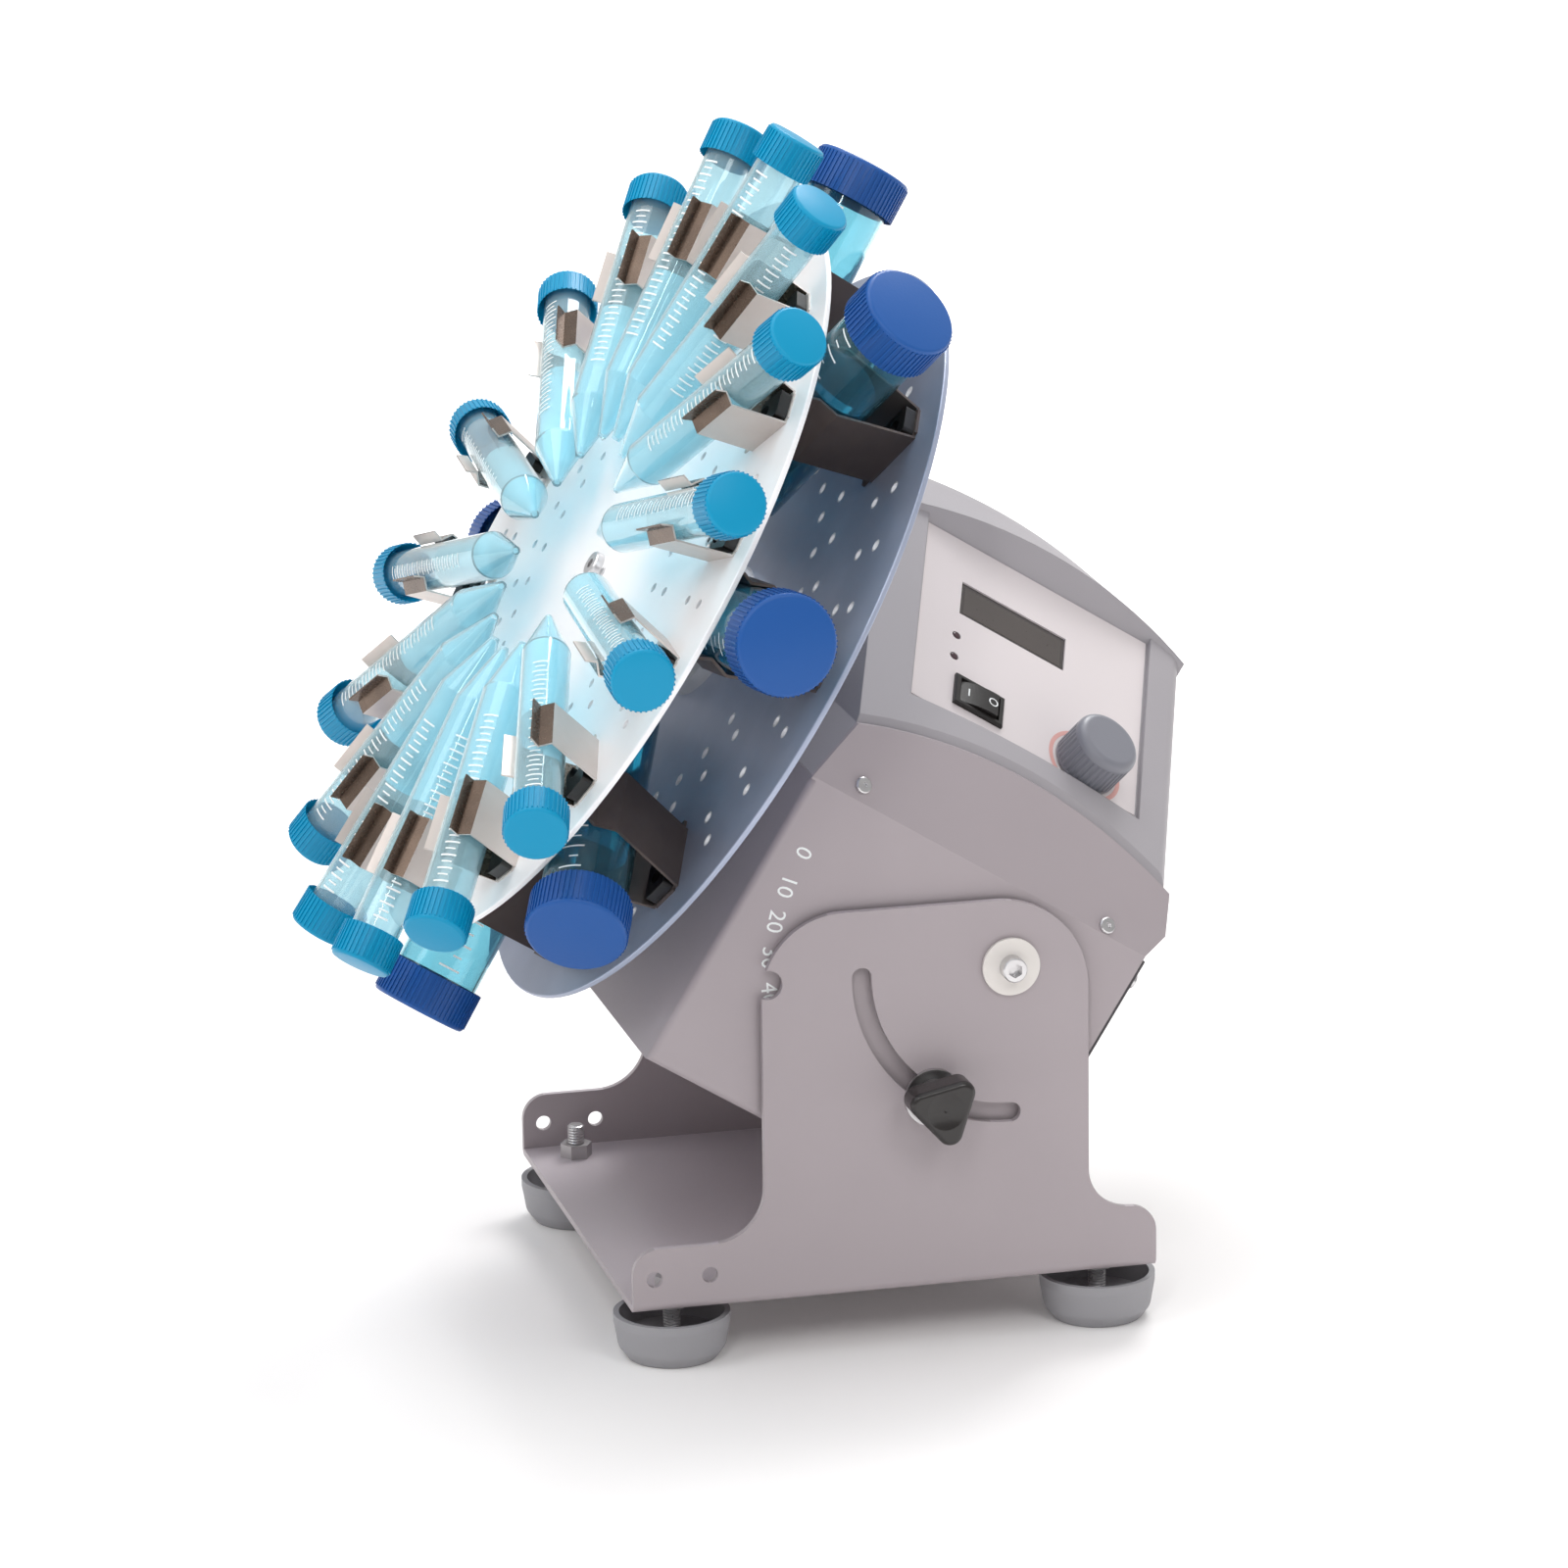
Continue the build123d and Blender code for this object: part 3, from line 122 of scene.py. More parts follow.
# %% Rings of caps
def ring_of(node, count):
    """Where a ring of pieces sits: first angle, step, lane along the spindle, half width, height, outer reaches."""
    total = complex(0, 0)
    for co in corners(node):
        angle = drum_angle(co - SPIN_AT)
        total += complex(math.cos(count * angle), math.sin(count * angle))
    first = math.atan2(total.imag, total.real) / count
    low, high = span(node, SPIN_AT, FORWARD)
    step = math.tau / count
    reach = [[] for _ in range(count)]
    for co in corners(node):
        place = co - SPIN_AT
        k = round((drum_angle(place) - first) / step) % count
        reach[k].append(place.dot(radial(first + k * step)))
    return {"first": first, "step": step, "lane": (low + high) / 2, "half": (high - low) / 2,
            "height": max(reach[0]) - min(reach[0]), "outer": [max(r) for r in reach]}


SMALL_TUBES, LARGE_TUBES = 16, 8
SMALL = ring_of("caps_15ml", SMALL_TUBES)
LARGE = ring_of("caps_50ml", LARGE_TUBES)
for name, ring in (("small", SMALL), ("large", LARGE)):
    print(name, "caps: half width", round(ring["half"], 4), "height", round(ring["height"], 4), "outer reach",
          [round(r, 4) for r in ring["outer"]])

# %% [markdown]
# ## The camera
# A bench instrument is shown best by a long lens from some way off, because a near camera would swell the drum. It
# looks along +Y, turned a little to the right and tipped down.

# %% Camera
FEET = centre("foot_cups")
FEET.z = 0
AZIMUTH, ELEVATION, ROLL = math.radians(13.67), math.radians(14.84), math.radians(-0.79)
DISTANCE = 2.429
AIM_RIGHT, AIM_UP = -0.01684, 0.1698
LENS, SENSOR = 157.5, 36
CLIP_END = 50

look = Vector((math.sin(AZIMUTH) * math.cos(ELEVATION), math.cos(AZIMUTH) * math.cos(ELEVATION),
               -math.sin(ELEVATION)))
right0 = Vector((math.cos(AZIMUTH), -math.sin(AZIMUTH), 0))
up0 = right0.cross(look)
right = right0 * math.cos(ROLL) + up0 * math.sin(ROLL)
up = -right0 * math.sin(ROLL) + up0 * math.cos(ROLL)
eye = FEET + right * AIM_RIGHT + up * AIM_UP - look * DISTANCE

bpy.ops.object.select_all(action="DESELECT")
bpy.ops.object.camera_add(location=eye)
camera = bpy.context.object
camera.name = "camera"
camera.data.lens = LENS
camera.data.sensor_width = SENSOR
camera.data.clip_end = CLIP_END
camera.rotation_euler = Matrix((right, up, -look)).transposed().to_euler()
bpy.context.scene.camera = camera
print("camera at", [round(v, 3) for v in eye])

# %% [markdown]
# ## The floor
# The instrument stands on white paper. A curved sweep could be modelled, but a flat sheet that glows more with the
# distance from its middle fades into the background in the same way, and keeps the contact shadows near the feet.


# %% Node helpers
def new_node(tree, kind, values=None, **settings):
    """A node with its settings, and with values in its input sockets, by name or number."""
    made = tree.nodes.new(kind)
    for name, value in settings.items():
        setattr(made, name, value)
    for socket, value in (values or {}).items():
        made.inputs[socket].default_value = value
    return made


def join(tree, *pairs):
    """Links pairs of sockets."""
    for source, target in pairs:
        tree.links.new(source, target)


def new_material(name, **constants):
    """A material with its shader's constant sockets set by name, spaces written as underscores."""
    made = bpy.data.materials.new(name)
    made.use_nodes = True
    shader = made.node_tree.nodes["Principled BSDF"]
    for label, value in constants.items():
        shader.inputs[label.replace("_", " ")].default_value = value
    return made, made.node_tree, shader


print("node helpers ready")

# %% Floor
FLOOR_SIZE, FLOOR_DROP = 14, 0.0002
GLOW_BY_REACH = {"From Min": 0.3, "From Max": 1.6, "To Min": 0.04, "To Max": 0.6}
bpy.ops.mesh.primitive_plane_add(size=FLOOR_SIZE, location=(0, 0, 0))
floor = bpy.context.object
floor.name = "floor"
floor.location.z = -FLOOR_DROP
paper, tree, shader = new_material("white_paper", Base_Color=(0.9, 0.885, 0.88, 1), Roughness=0.9,
                                   Specular_IOR_Level=0.1, Emission_Color=(1.0, 0.995, 0.985, 1))
paper_place = new_node(tree, "ShaderNodeTexCoord")
paper_reach = new_node(tree, "ShaderNodeVectorMath", operation="LENGTH")
paper_glow = new_node(tree, "ShaderNodeMapRange", GLOW_BY_REACH)
join(tree, (paper_place.outputs["Object"], paper_reach.inputs[0]),
     (paper_reach.outputs["Value"], paper_glow.inputs["Value"]),
     (paper_glow.outputs[0], shader.inputs["Emission Strength"]))
floor.data.materials.append(paper)
print("floor", floor.dimensions.x, "m wide")

# %% [markdown]
# ## The room's light
# A plain white world would light everything evenly and leave polished steel with nothing to mirror. So this one is
# white overhead and dims to a warm grey low down and towards the camera's side. The background itself stays white.

# %% World
LOW_TONE, HIGH_TONE = (0.76, 0.74, 0.73, 1), (1.0, 1.0, 1.0, 1)
LOW_END, HIGH_END = 0.35, 0.85
NEAR_DIMMING = {"From Min": -1.0, "From Max": -0.1, "To Min": 0.22, "To Max": 1.0}
SKY_STRENGTH, BACKDROP_STRENGTH = 0.72, 1.0
BACKDROP_TONE = (1.0, 0.998, 0.992, 1)

world = bpy.data.worlds.new("studio")
bpy.context.scene.world = world
world.use_nodes = True
tree = world.node_tree
tree.nodes.clear()
place = new_node(tree, "ShaderNodeTexCoord")
parts = new_node(tree, "ShaderNodeSeparateXYZ")
height_map = new_node(tree, "ShaderNodeMapRange", {"From Min": -1})
height_ramp = new_node(tree, "ShaderNodeValToRGB")
low_stop, high_stop = height_ramp.color_ramp.elements
low_stop.position, low_stop.color = LOW_END, LOW_TONE
high_stop.position, high_stop.color = HIGH_END, HIGH_TONE
depth_map = new_node(tree, "ShaderNodeMapRange", NEAR_DIMMING)
dim = new_node(tree, "ShaderNodeMix", {"Factor": 1}, data_type="RGBA", blend_type="MULTIPLY")
sky = new_node(tree, "ShaderNodeBackground", {"Strength": SKY_STRENGTH})
backdrop = new_node(tree, "ShaderNodeBackground", {"Color": BACKDROP_TONE, "Strength": BACKDROP_STRENGTH})
ray = new_node(tree, "ShaderNodeLightPath")
choose = new_node(tree, "ShaderNodeMixShader")
out = new_node(tree, "ShaderNodeOutputWorld")
join(tree, (place.outputs["Generated"], parts.inputs[0]), (parts.outputs["Z"], height_map.inputs["Value"]),
     (height_map.outputs[0], height_ramp.inputs[0]), (parts.outputs["Y"], depth_map.inputs["Value"]),
     (height_ramp.outputs["Color"], dim.inputs["A"]), (depth_map.outputs[0], dim.inputs["B"]),
     (dim.outputs["Result"], sky.inputs["Color"]), (ray.outputs["Is Camera Ray"], choose.inputs[0]),
     (sky.outputs[0], choose.inputs[1]), (backdrop.outputs[0], choose.inputs[2]),
     (choose.outputs[0], out.inputs[0]))
print("world:", len(tree.nodes), "nodes")

# %% [markdown]
# ## The lamps
# Large square lamps give soft shadows. One strip, tall and narrow, draws a long highlight down the tubes and the
# hood, which a square lamp would smear. The tubes need extra bounces, because light passes many clear walls.


# %% Lamps
def lamp(name, place, aim, size, power):
    """A square soft lamp that points at a place."""
    bpy.ops.object.light_add(type="AREA", location=place)
    made = bpy.context.object
    made.name = name
    made.data.size = size
    made.data.energy = power
    made.rotation_euler = (Vector(aim) - Vector(place)).to_track_quat("-Z", "Y").to_euler()
    return made


AIM_LIFT = 0.08
LAMPS = (("back_right", (0.75, 1.05, 1.5), 0.8, 20), ("overhead", (-0.3, 0.2, 1.7), 1.2, 10),
         ("key", (0.4, -1.5, 1.15), 0.6, 6), ("left", (-1.5, -0.5, 1.4), 1.0, 7.5))
STRIP_AT, STRIP_AIM = (-0.55, -1.3, 1.15), (-0.15, 0, 0.15)
STRIP_WIDTH, STRIP_LENGTH, STRIP_POWER = 0.09, 0.9, 5
BOUNCES, CLEAR_BOUNCES = 18, 24

middle = centre("stand_bracket") + Vector((0, 0, AIM_LIFT))
for name, offset, size, power in LAMPS:
    lamp(name, middle + Vector(offset), middle, size, power)
strip = lamp("strip", middle + Vector(STRIP_AT), middle + Vector(STRIP_AIM), STRIP_WIDTH, STRIP_POWER)
strip.data.shape = "RECTANGLE"
strip.data.size_y = STRIP_LENGTH
scene = bpy.context.scene
scene.view_settings.view_transform = "Standard"
scene.cycles.max_bounces = BOUNCES
scene.cycles.transmission_bounces = BOUNCES
scene.cycles.transparent_max_bounces = CLEAR_BOUNCES

# %% [markdown]
# ## Effects that the finishes share
# Three effects recur on this object, and each is a node group that a material places with its own values: a mottled
# tone, a fine grain for paint and moulded plastic, and the fine surface of metal. They could be built again in each
# material, but a group is mended once for all. They read Object coordinates, so a pattern stays on its piece when
# the drum turns.


# %% Group helper
def new_group(name, inputs, outputs):
    """An empty shader group with named sockets: inputs are (name, kind, default), outputs are (name, kind)."""
    group = bpy.data.node_groups.new(name, "ShaderNodeTree")
    for label, kind, value in inputs:
        socket = group.interface.new_socket(label, in_out="INPUT", socket_type=kind)
        socket.default_value = value
    for label, kind in outputs:
        group.interface.new_socket(label, in_out="OUTPUT", socket_type=kind)
    return group, group.nodes.new("NodeGroupInput"), group.nodes.new("NodeGroupOutput")


FLOAT, COLOR = "NodeSocketFloat", "NodeSocketColor"
print("group helper ready")

# %% Mottled tone
mottle, g_in, g_out = new_group(
    "mottled_tone",
    [("Light", COLOR, (1, 1, 1, 1)), ("Dark", COLOR, (0, 0, 0, 1)), ("Scale", FLOAT, 8.0)],
    [("Color", COLOR)])
g_place = new_node(mottle, "ShaderNodeTexCoord")
g_noise = new_node(mottle, "ShaderNodeTexNoise", {"Detail": 3})
g_mix = new_node(mottle, "ShaderNodeMix", data_type="RGBA")
join(mottle, (g_place.outputs["Object"], g_noise.inputs["Vector"]),
     (g_in.outputs["Scale"], g_noise.inputs["Scale"]), (g_noise.outputs["Fac"], g_mix.inputs["Factor"]),
     (g_in.outputs["Dark"], g_mix.inputs["A"]), (g_in.outputs["Light"], g_mix.inputs["B"]),
     (g_mix.outputs["Result"], g_out.inputs["Color"]))
print("group", mottle.name)

# %% Fine grain
grain, g_in, g_out = new_group(
    "fine_grain",
    [("Scale", FLOAT, 900.0), ("Roughness", FLOAT, 0.4), ("Spread", FLOAT, 0.1)],
    [("Height", FLOAT), ("Roughness", FLOAT)])
g_place = new_node(grain, "ShaderNodeTexCoord")
g_noise = new_node(grain, "ShaderNodeTexNoise", {"Detail": 2})
g_centre = new_node(grain, "ShaderNodeMath", {1: 0.5}, operation="SUBTRACT")
g_spread = new_node(grain, "ShaderNodeMath", operation="MULTIPLY_ADD")
join(grain, (g_place.outputs["Object"], g_noise.inputs["Vector"]),
     (g_in.outputs["Scale"], g_noise.inputs["Scale"]), (g_noise.outputs["Fac"], g_out.inputs["Height"]),
     (g_noise.outputs["Fac"], g_centre.inputs[0]), (g_centre.outputs[0], g_spread.inputs[0]),
     (g_in.outputs["Spread"], g_spread.inputs[1]), (g_in.outputs["Roughness"], g_spread.inputs[2]),
     (g_spread.outputs[0], g_out.inputs["Roughness"]))
print("group", grain.name)

# %% Surface of metal
metal_skin, g_in, g_out = new_group(
    "metal_surface",
    [("Scale", FLOAT, 400.0), ("Roughness", FLOAT, 0.3), ("Spread", FLOAT, 0.2)],
    [("Height", FLOAT), ("Roughness", FLOAT)])
g_place = new_node(metal_skin, "ShaderNodeTexCoord")
g_noise = new_node(metal_skin, "ShaderNodeTexNoise", {"Detail": 4})
g_spread = new_node(metal_skin, "ShaderNodeMath", operation="MULTIPLY_ADD")
join(metal_skin, (g_place.outputs["Object"], g_noise.inputs["Vector"]),
     (g_in.outputs["Scale"], g_noise.inputs["Scale"]), (g_noise.outputs["Fac"], g_out.inputs["Height"]),
     (g_noise.outputs["Fac"], g_spread.inputs[0]), (g_in.outputs["Spread"], g_spread.inputs[1]),
     (g_in.outputs["Roughness"], g_spread.inputs[2]), (g_spread.outputs[0], g_out.inputs["Roughness"]))
print("group", metal_skin.name)

# %% [markdown]
# ## Finishes from the effects
# Nearly every surface is either coated or bare metal, so two helpers make nearly all the materials. Each takes a
# lighter and a darker tone, because a single flat tone looks like plastic film. Sheet edges are dead sharp in the
# construction. A bevel in the mesh would change it, so a bevel in the shading rounds them to the eye.


# %% Material helpers
def linear(code):
    """A #rrggbb colour as linear values."""
    values = [int(code[i:i + 2], 16) / 255 for i in (1, 3, 5)]
    return tuple(c / 12.92 if c <= 0.04045 else ((c + 0.055) / 1.055) ** 2.4 for c in values) + (1,)


def use_group(tree, group, **values):
    """A copy of a group in a material, with its inputs set by name."""
    return new_node(tree, "ShaderNodeGroup", values, node_tree=group)


def add_bump(tree, shader, height, distance):
    """A bump of a given depth in metres from a height socket."""
    made = new_node(tree, "ShaderNodeBump", {"Distance": distance, "Strength": 1.0})
    join(tree, (height, made.inputs["Height"]), (made.outputs[0], shader.inputs["Normal"]))
    return made


def soften(tree, bump, radius):
    """Rounds the shading of sharp edges by a radius in metres."""
    if radius:
        made = new_node(tree, "ShaderNodeBevel", {"Radius": radius}, samples=4)
        join(tree, (made.outputs[0], bump.inputs["Normal"]))


def coated(name, light, dark, roughness, spread=0.12, scale=900.0, depth=0.00003, patch=9.0, edge=0.0,
           **constants):
    """Paint, rubber or moulded plastic: mottled tone, grainy roughness, a fine bump, edges softened by edge."""
    made, tree, shader = new_material(name, **constants)
    tone = use_group(tree, mottle, Light=linear(light), Dark=linear(dark), Scale=patch)
    fine = use_group(tree, grain, Scale=scale, Roughness=roughness, Spread=spread)
    join(tree, (tone.outputs["Color"], shader.inputs["Base Color"]),
         (fine.outputs["Roughness"], shader.inputs["Roughness"]))
    soften(tree, add_bump(tree, shader, fine.outputs["Height"], depth), edge)
    return made


def metal(name, light, dark, roughness, spread=0.15, scale=500.0, depth=0.00001, bare=1.0, patch=60.0):
    """Metal with a fine uneven surface; bare is how metallic it looks."""
    made, tree, shader = new_material(name, Metallic=bare)
    skin = use_group(tree, metal_skin, Scale=scale, Roughness=roughness, Spread=spread)
    tone = use_group(tree, mottle, Light=linear(light), Dark=linear(dark), Scale=patch)
    join(tree, (tone.outputs["Color"], shader.inputs["Base Color"]),
         (skin.outputs["Roughness"], shader.inputs["Roughness"]))
    add_bump(tree, shader, skin.outputs["Height"], depth)
    return made


def wear(material, *nodes):
    """Gives a material to CAD nodes."""
    for node in nodes:
        slots = frame["nodes"][node].data.materials
        slots.clear()
        slots.append(material)


print("material helpers ready")

# %% [markdown]
# ## Paint on the stand and the casing
# The stand, the casing and the rear cover are powder-coated sheet, a fine matt grain over a soft grey. The hood is
# moulded in a slightly cooler grey. The base plate's upper faces take a lighter tone, picked by their normal instead
# of by hand: a painted highlight that stands in for the light falling on them from above.

# %% Painted steel and moulded hood
PAINT = {"spread": 0.16, "scale": 1400.0, "depth": 0.00002}
UP_FACING = 0.99
grey_paint = coated("grey_paint", "#b1a7ab", "#a1989c", 0.42, edge=0.0004, **PAINT)
hood_paint = coated("hood_paint", "#a9a5a9", "#9b979c", 0.45, edge=0.0006, **PAINT)
dark_paint = coated("dark_paint", "#4c494c", "#3e3b3e", 0.45, scale=PAINT["scale"])
zinc_nut = metal("grey_zinc", "#c2bfc0", "#9c999a", 0.35, bare=0.6)
wear(grey_paint, "stand_bracket", "head_casing")
# A lighter tone for the base plate's upper faces: a painted highlight for the light from above.
base_top_painted_light = coated("base_top_painted_light", "#cbc2c7", "#bdb4b9", 0.36, edge=0.0004, **PAINT)
bracket = frame["nodes"]["stand_bracket"].data
bracket.materials.append(base_top_painted_light)
# Faces that point straight up take the painted highlight.
for face in bracket.polygons:
    if face.normal.z > UP_FACING:
        face.material_index = 1
wear(hood_paint, "hood")
wear(dark_paint, "rear_cover")
wear(zinc_nut, "foot_nuts")
print("paints on")

# %% [markdown]
# ## Bare and plated metal
# Screws and nuts are bright plated steel, the drive parts plain aluminium, and the bushes brass. The two discs are
# finished sheet, one pale and one blue-grey. They are made only partly metallic, because a full metal would turn
# dark wherever it mirrors the dim side of the room.

# %% Metals
SHEET = {"spread": 0.1, "scale": 1500.0, "depth": 0.000002}
CLIP = {"spread": 0.14, "depth": 0.000004}
bright_steel = metal("bright_steel", "#e2e1e2", "#c4c2c3", 0.24)
spring_steel = metal("spring_steel", "#dad0ca", "#c6bbb5", 0.3, bare=0.5, **CLIP)
dark_clip = metal("dark_clip", "#6c605c", "#524845", 0.36, bare=0.45, **CLIP)
aluminium = metal("bare_aluminium", "#d5d6d8", "#b8babd", 0.35)
bearing_steel = metal("bearing_steel", "#c6c8cc", "#a5a7ab", 0.18)
motor_steel = metal("motor_steel", "#9a9c9f", "#7f8184", 0.4)
brass = metal("brass_bush", "#c79a4d", "#a87d38", 0.3)
pale_disc = metal("pale_disc", "#ffffff", "#faf6f8", 0.32, bare=0.1, **SHEET)
blue_disc = metal("blue_disc", "#b0b8cc", "#9da6bc", 0.32, bare=0.45, **SHEET)
wear(bright_steel, "foot_jam_nuts", "pivot_screws", "pivot_bosses", "clamp_nut", "clamp_washer",
     "shell_screws", "speed_encoder", "encoder_shaft", "cover_screws", "inlet_screws", "drive_screws",
     "motor_screws", "hub_screws", "drive_pins", "centre_screw", "screws_15ml", "screws_50ml")
wear(dark_clip, "clips_50ml")
wear(aluminium, "drive_frame", "bearing_housing", "shaft_coupling", "hub", "spacer_sleeve")
wear(bearing_steel, "spindle_bearings", "motor_shaft", "spindle")
wear(motor_steel, "gear_motor", "power_supply")
wear(brass, "pivot_bushes")
wear(pale_disc, "front_disc")
wear(blue_disc, "rear_disc")
print("metals on")

# %% [markdown]
# ## Threads of the feet
# The feet stand on M6 studs. A cut thread would cost thousands of faces on pieces a few millimetres long, so the
# thread is a bump: bands stacked along Z, one to each turn of the thread.

# %% Threaded studs
THREAD_PITCH, THREAD_DEPTH = 0.001, 0.0003
WAVE_BANDS = 20
threaded, tree, shader = new_material("threaded_steel", Metallic=0.8)
tone = use_group(tree, mottle, Light=linear("#e2e1e2"), Dark=linear("#c4c2c3"), Scale=60.0)
fine = use_group(tree, grain, Scale=700.0, Roughness=0.3, Spread=0.15)
thread_map = new_node(tree, "ShaderNodeTexCoord")
thread_wave = new_node(tree, "ShaderNodeTexWave", {"Scale": math.tau / THREAD_PITCH / WAVE_BANDS},
                       bands_direction="Z")
join(tree, (tone.outputs["Color"], shader.inputs["Base Color"]),
     (fine.outputs["Roughness"], shader.inputs["Roughness"]),
     (thread_map.outputs["Object"], thread_wave.inputs["Vector"]))
add_bump(tree, shader, thread_wave.outputs["Fac"], THREAD_DEPTH)
wear(threaded, "foot_studs")
print("studs on")

# %% [markdown]
# ## Spring clips
# The small clips are pale outside. Their inner faces and their lips take a darker brown. A second
# material on those faces, found by their height and the way they face, keeps the clip one piece.

# %% Spring clips
FOOT_TOP, LIP_LOW = 0.0012, 0.0205
SIDE_FACING = 0.3
clip_brown = metal("clip_brown", "#7c695b", "#463a33", 0.22, spread=0.1, depth=0.000002, patch=70.0, bare=0.7)
clips = frame["nodes"]["clips_15ml"].data
clips.materials.clear()
clips.materials.append(spring_steel)
clips.materials.append(clip_brown)
clip_foot = span("clips_15ml", SPIN_AT, FORWARD)[0]
brown_faces = 0
for face in clips.polygons:
    place = face.center - SPIN_AT
    nearest = SMALL["first"] + round((drum_angle(place) - SMALL["first"]) / SMALL["step"]) * SMALL["step"]
    offset = place.dot(tangent(nearest))
    facing = face.normal.dot(tangent(nearest))
    raised = place.dot(FORWARD) - clip_foot
    lip = raised > LIP_LOW and offset * facing > 0
    inner = FOOT_TOP < raised < LIP_LOW and offset * facing < 0
    if (lip or inner) and abs(facing) > SIDE_FACING:
        face.material_index = 1
        brown_faces += 1
print("brown faces of the clips:", brown_faces, "of", len(clips.polygons))

# %% [markdown]
# ## Rubber and plastics
# The feet are grey rubber, the washers white nylon, and the knobs, switch and inlet moulded plastic. All are coated
# surfaces that differ only in tone, gloss and grain, so one helper serves them. The clamp knob and the display have
# a clear coat over them, which gives a second, sharper highlight.

# %% Rubber and plastics
foot_rubber = coated("foot_rubber", "#a5a4a8", "#969599", 0.6, scale=1800.0, depth=0.00004)
nylon = coated("white_nylon", "#e8e3df", "#dcd7d2", 0.5)
black_knob = coated("black_knob", "#221d1c", "#181413", 0.34, spread=0.1, Coat_Weight=0.3, Coat_Roughness=0.15)
black_plastic = coated("black_plastic", "#221f1e", "#171514", 0.35)
knob_grey = coated("knob_grey", "#85868e", "#75767f", 0.36, spread=0.1, edge=0.0002)
label_film = coated("label_film", "#ddd5d6", "#d3cbcc", 0.42, depth=0.000008)
board_green = coated("board_green", "#35694a", "#28513a", 0.5)
led_lens = coated("led_lens", "#4a2f36", "#38242a", 0.2)
display_glass = coated("display_glass", "#3d3634", "#2e2826", 0.15, depth=0.000002, Coat_Weight=0.5)
wear(foot_rubber, "foot_cups")
wear(nylon, "pivot_washers", "pivot_spacers", "board_posts")
wear(black_knob, "clamp_knob")
wear(black_plastic, "rocker_housing", "rocker", "power_inlet", "pads_15ml", "pads_50ml")
wear(knob_grey, "speed_knob")
wear(label_film, "panel_label")
wear(board_green, "display_module", "control_board")
wear(led_lens, "status_leds")
wear(display_glass, "display_window")
print("plastics on")

# %% [markdown]
# ## Clear tubes and their liquid
# The tubes are clear plastic round a pale blue liquid. Real glass-like shadows would be dark and noisy through so
# many walls, so a shadow ray meets a pale tinted see-through shader instead, and every other ray the true one.


# %% Clear plastic and liquid
def clear(name, tint, ior, roughness, shade, through, **constants):
    """Clear stuff that lets light through to what is behind it, so that it throws only a pale shadow."""
    made, tree, shader = new_material(name, Base_Color=linear(tint), Transmission_Weight=through, IOR=ior,
                                      **constants)
    fine = use_group(tree, grain, Scale=300.0, Roughness=roughness, Spread=0.02)
    ray = new_node(tree, "ShaderNodeLightPath")
    past = new_node(tree, "ShaderNodeBsdfTransparent", {"Color": linear(shade)})
    choose = new_node(tree, "ShaderNodeMixShader")
    target = tree.nodes["Material Output"].inputs["Surface"]
    join(tree, (fine.outputs["Roughness"], shader.inputs["Roughness"]),
         (ray.outputs["Is Shadow Ray"], choose.inputs[0]), (shader.outputs[0], choose.inputs[1]),
         (past.outputs[0], choose.inputs[2]), (choose.outputs[0], target))
    return made


TUBE = {"ior": 1.2, "roughness": 0.05, "Coat_Weight": 0.7, "Coat_Roughness": 0.06}
LIQUID = {"ior": 1.15, "roughness": 0.05}
CAP = {"spread": 0.1, "Specular_IOR_Level": 0.3}
clear_tube = clear("clear_tube", "#d2eaf0", shade="#eaf8fb", through=0.86, **TUBE)
deep_tube = clear("deep_tube", "#a9dbe6", shade="#d9ecf6", through=0.97, **TUBE)
liquid = clear("blue_liquid", "#d6f1f6", shade="#dcf4f9", through=0.62, **LIQUID)
deep_liquid = clear("deep_liquid", "#58bfd6", shade="#b9e2f0", through=0.92, **LIQUID)
wear(clear_tube, "tubes_15ml")
wear(deep_tube, "tubes_50ml")
wear(liquid, "fill_15ml")
wear(deep_liquid, "fill_50ml")
cyan_cap = coated("cyan_cap", "#0097c2", "#008ab5", 0.38, **CAP)
blue_cap = coated("blue_cap", "#2259a0", "#1c4f96", 0.36, **CAP)
print("clear parts on")

# %% [markdown]
# ## Ribbed caps
# A screw cap has fine grip ribs, a rounded upper rim and a flat face. Ribs could be a bump, but they show at the
# cap's outline. So one cap is modelled for each size from a cylinder: every other strip of its side is raised into
# a rib, the rim is rounded and the underside is hollowed. Then it is copied round the drum and takes the place of
# the plain construction caps.


# %% Modelling helpers
SMOOTH_ANGLE = math.radians(40)


def start_fresh():
    """Leaves nothing selected before a new piece is made."""
    if bpy.context.mode != "OBJECT":
        bpy.ops.object.mode_set(mode="OBJECT")
    bpy.ops.object.select_all(action="DESELECT")


def pick_faces(obj, test):
    """Selects the faces whose local centre and normal pass a test; the object is in edit mode."""
    mesh = bmesh.from_edit_mesh(obj.data)
    for face in mesh.faces:
        face.select_set(test(face.calc_center_median(), face.normal))
    bmesh.update_edit_mesh(obj.data)


def joined(objects):
    """Several mesh objects as one."""
    start_fresh()
    for obj in objects:
        obj.select_set(True)
    bpy.context.view_layer.objects.active = objects[0]
    bpy.ops.object.join()
    return bpy.context.object


def finish_piece(obj, name, material, body):
    """Names a piece, gives it its material and smoothing, and lets it ride a body."""
    obj.name = name
    obj.data.name = name
    obj.data.materials.clear()
    obj.data.materials.append(material)
    bpy.ops.object.select_all(action="DESELECT")
    obj.select_set(True)
    bpy.context.view_layer.objects.active = obj
    bpy.ops.object.shade_smooth_by_angle(angle=SMOOTH_ANGLE)
    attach(obj, body)


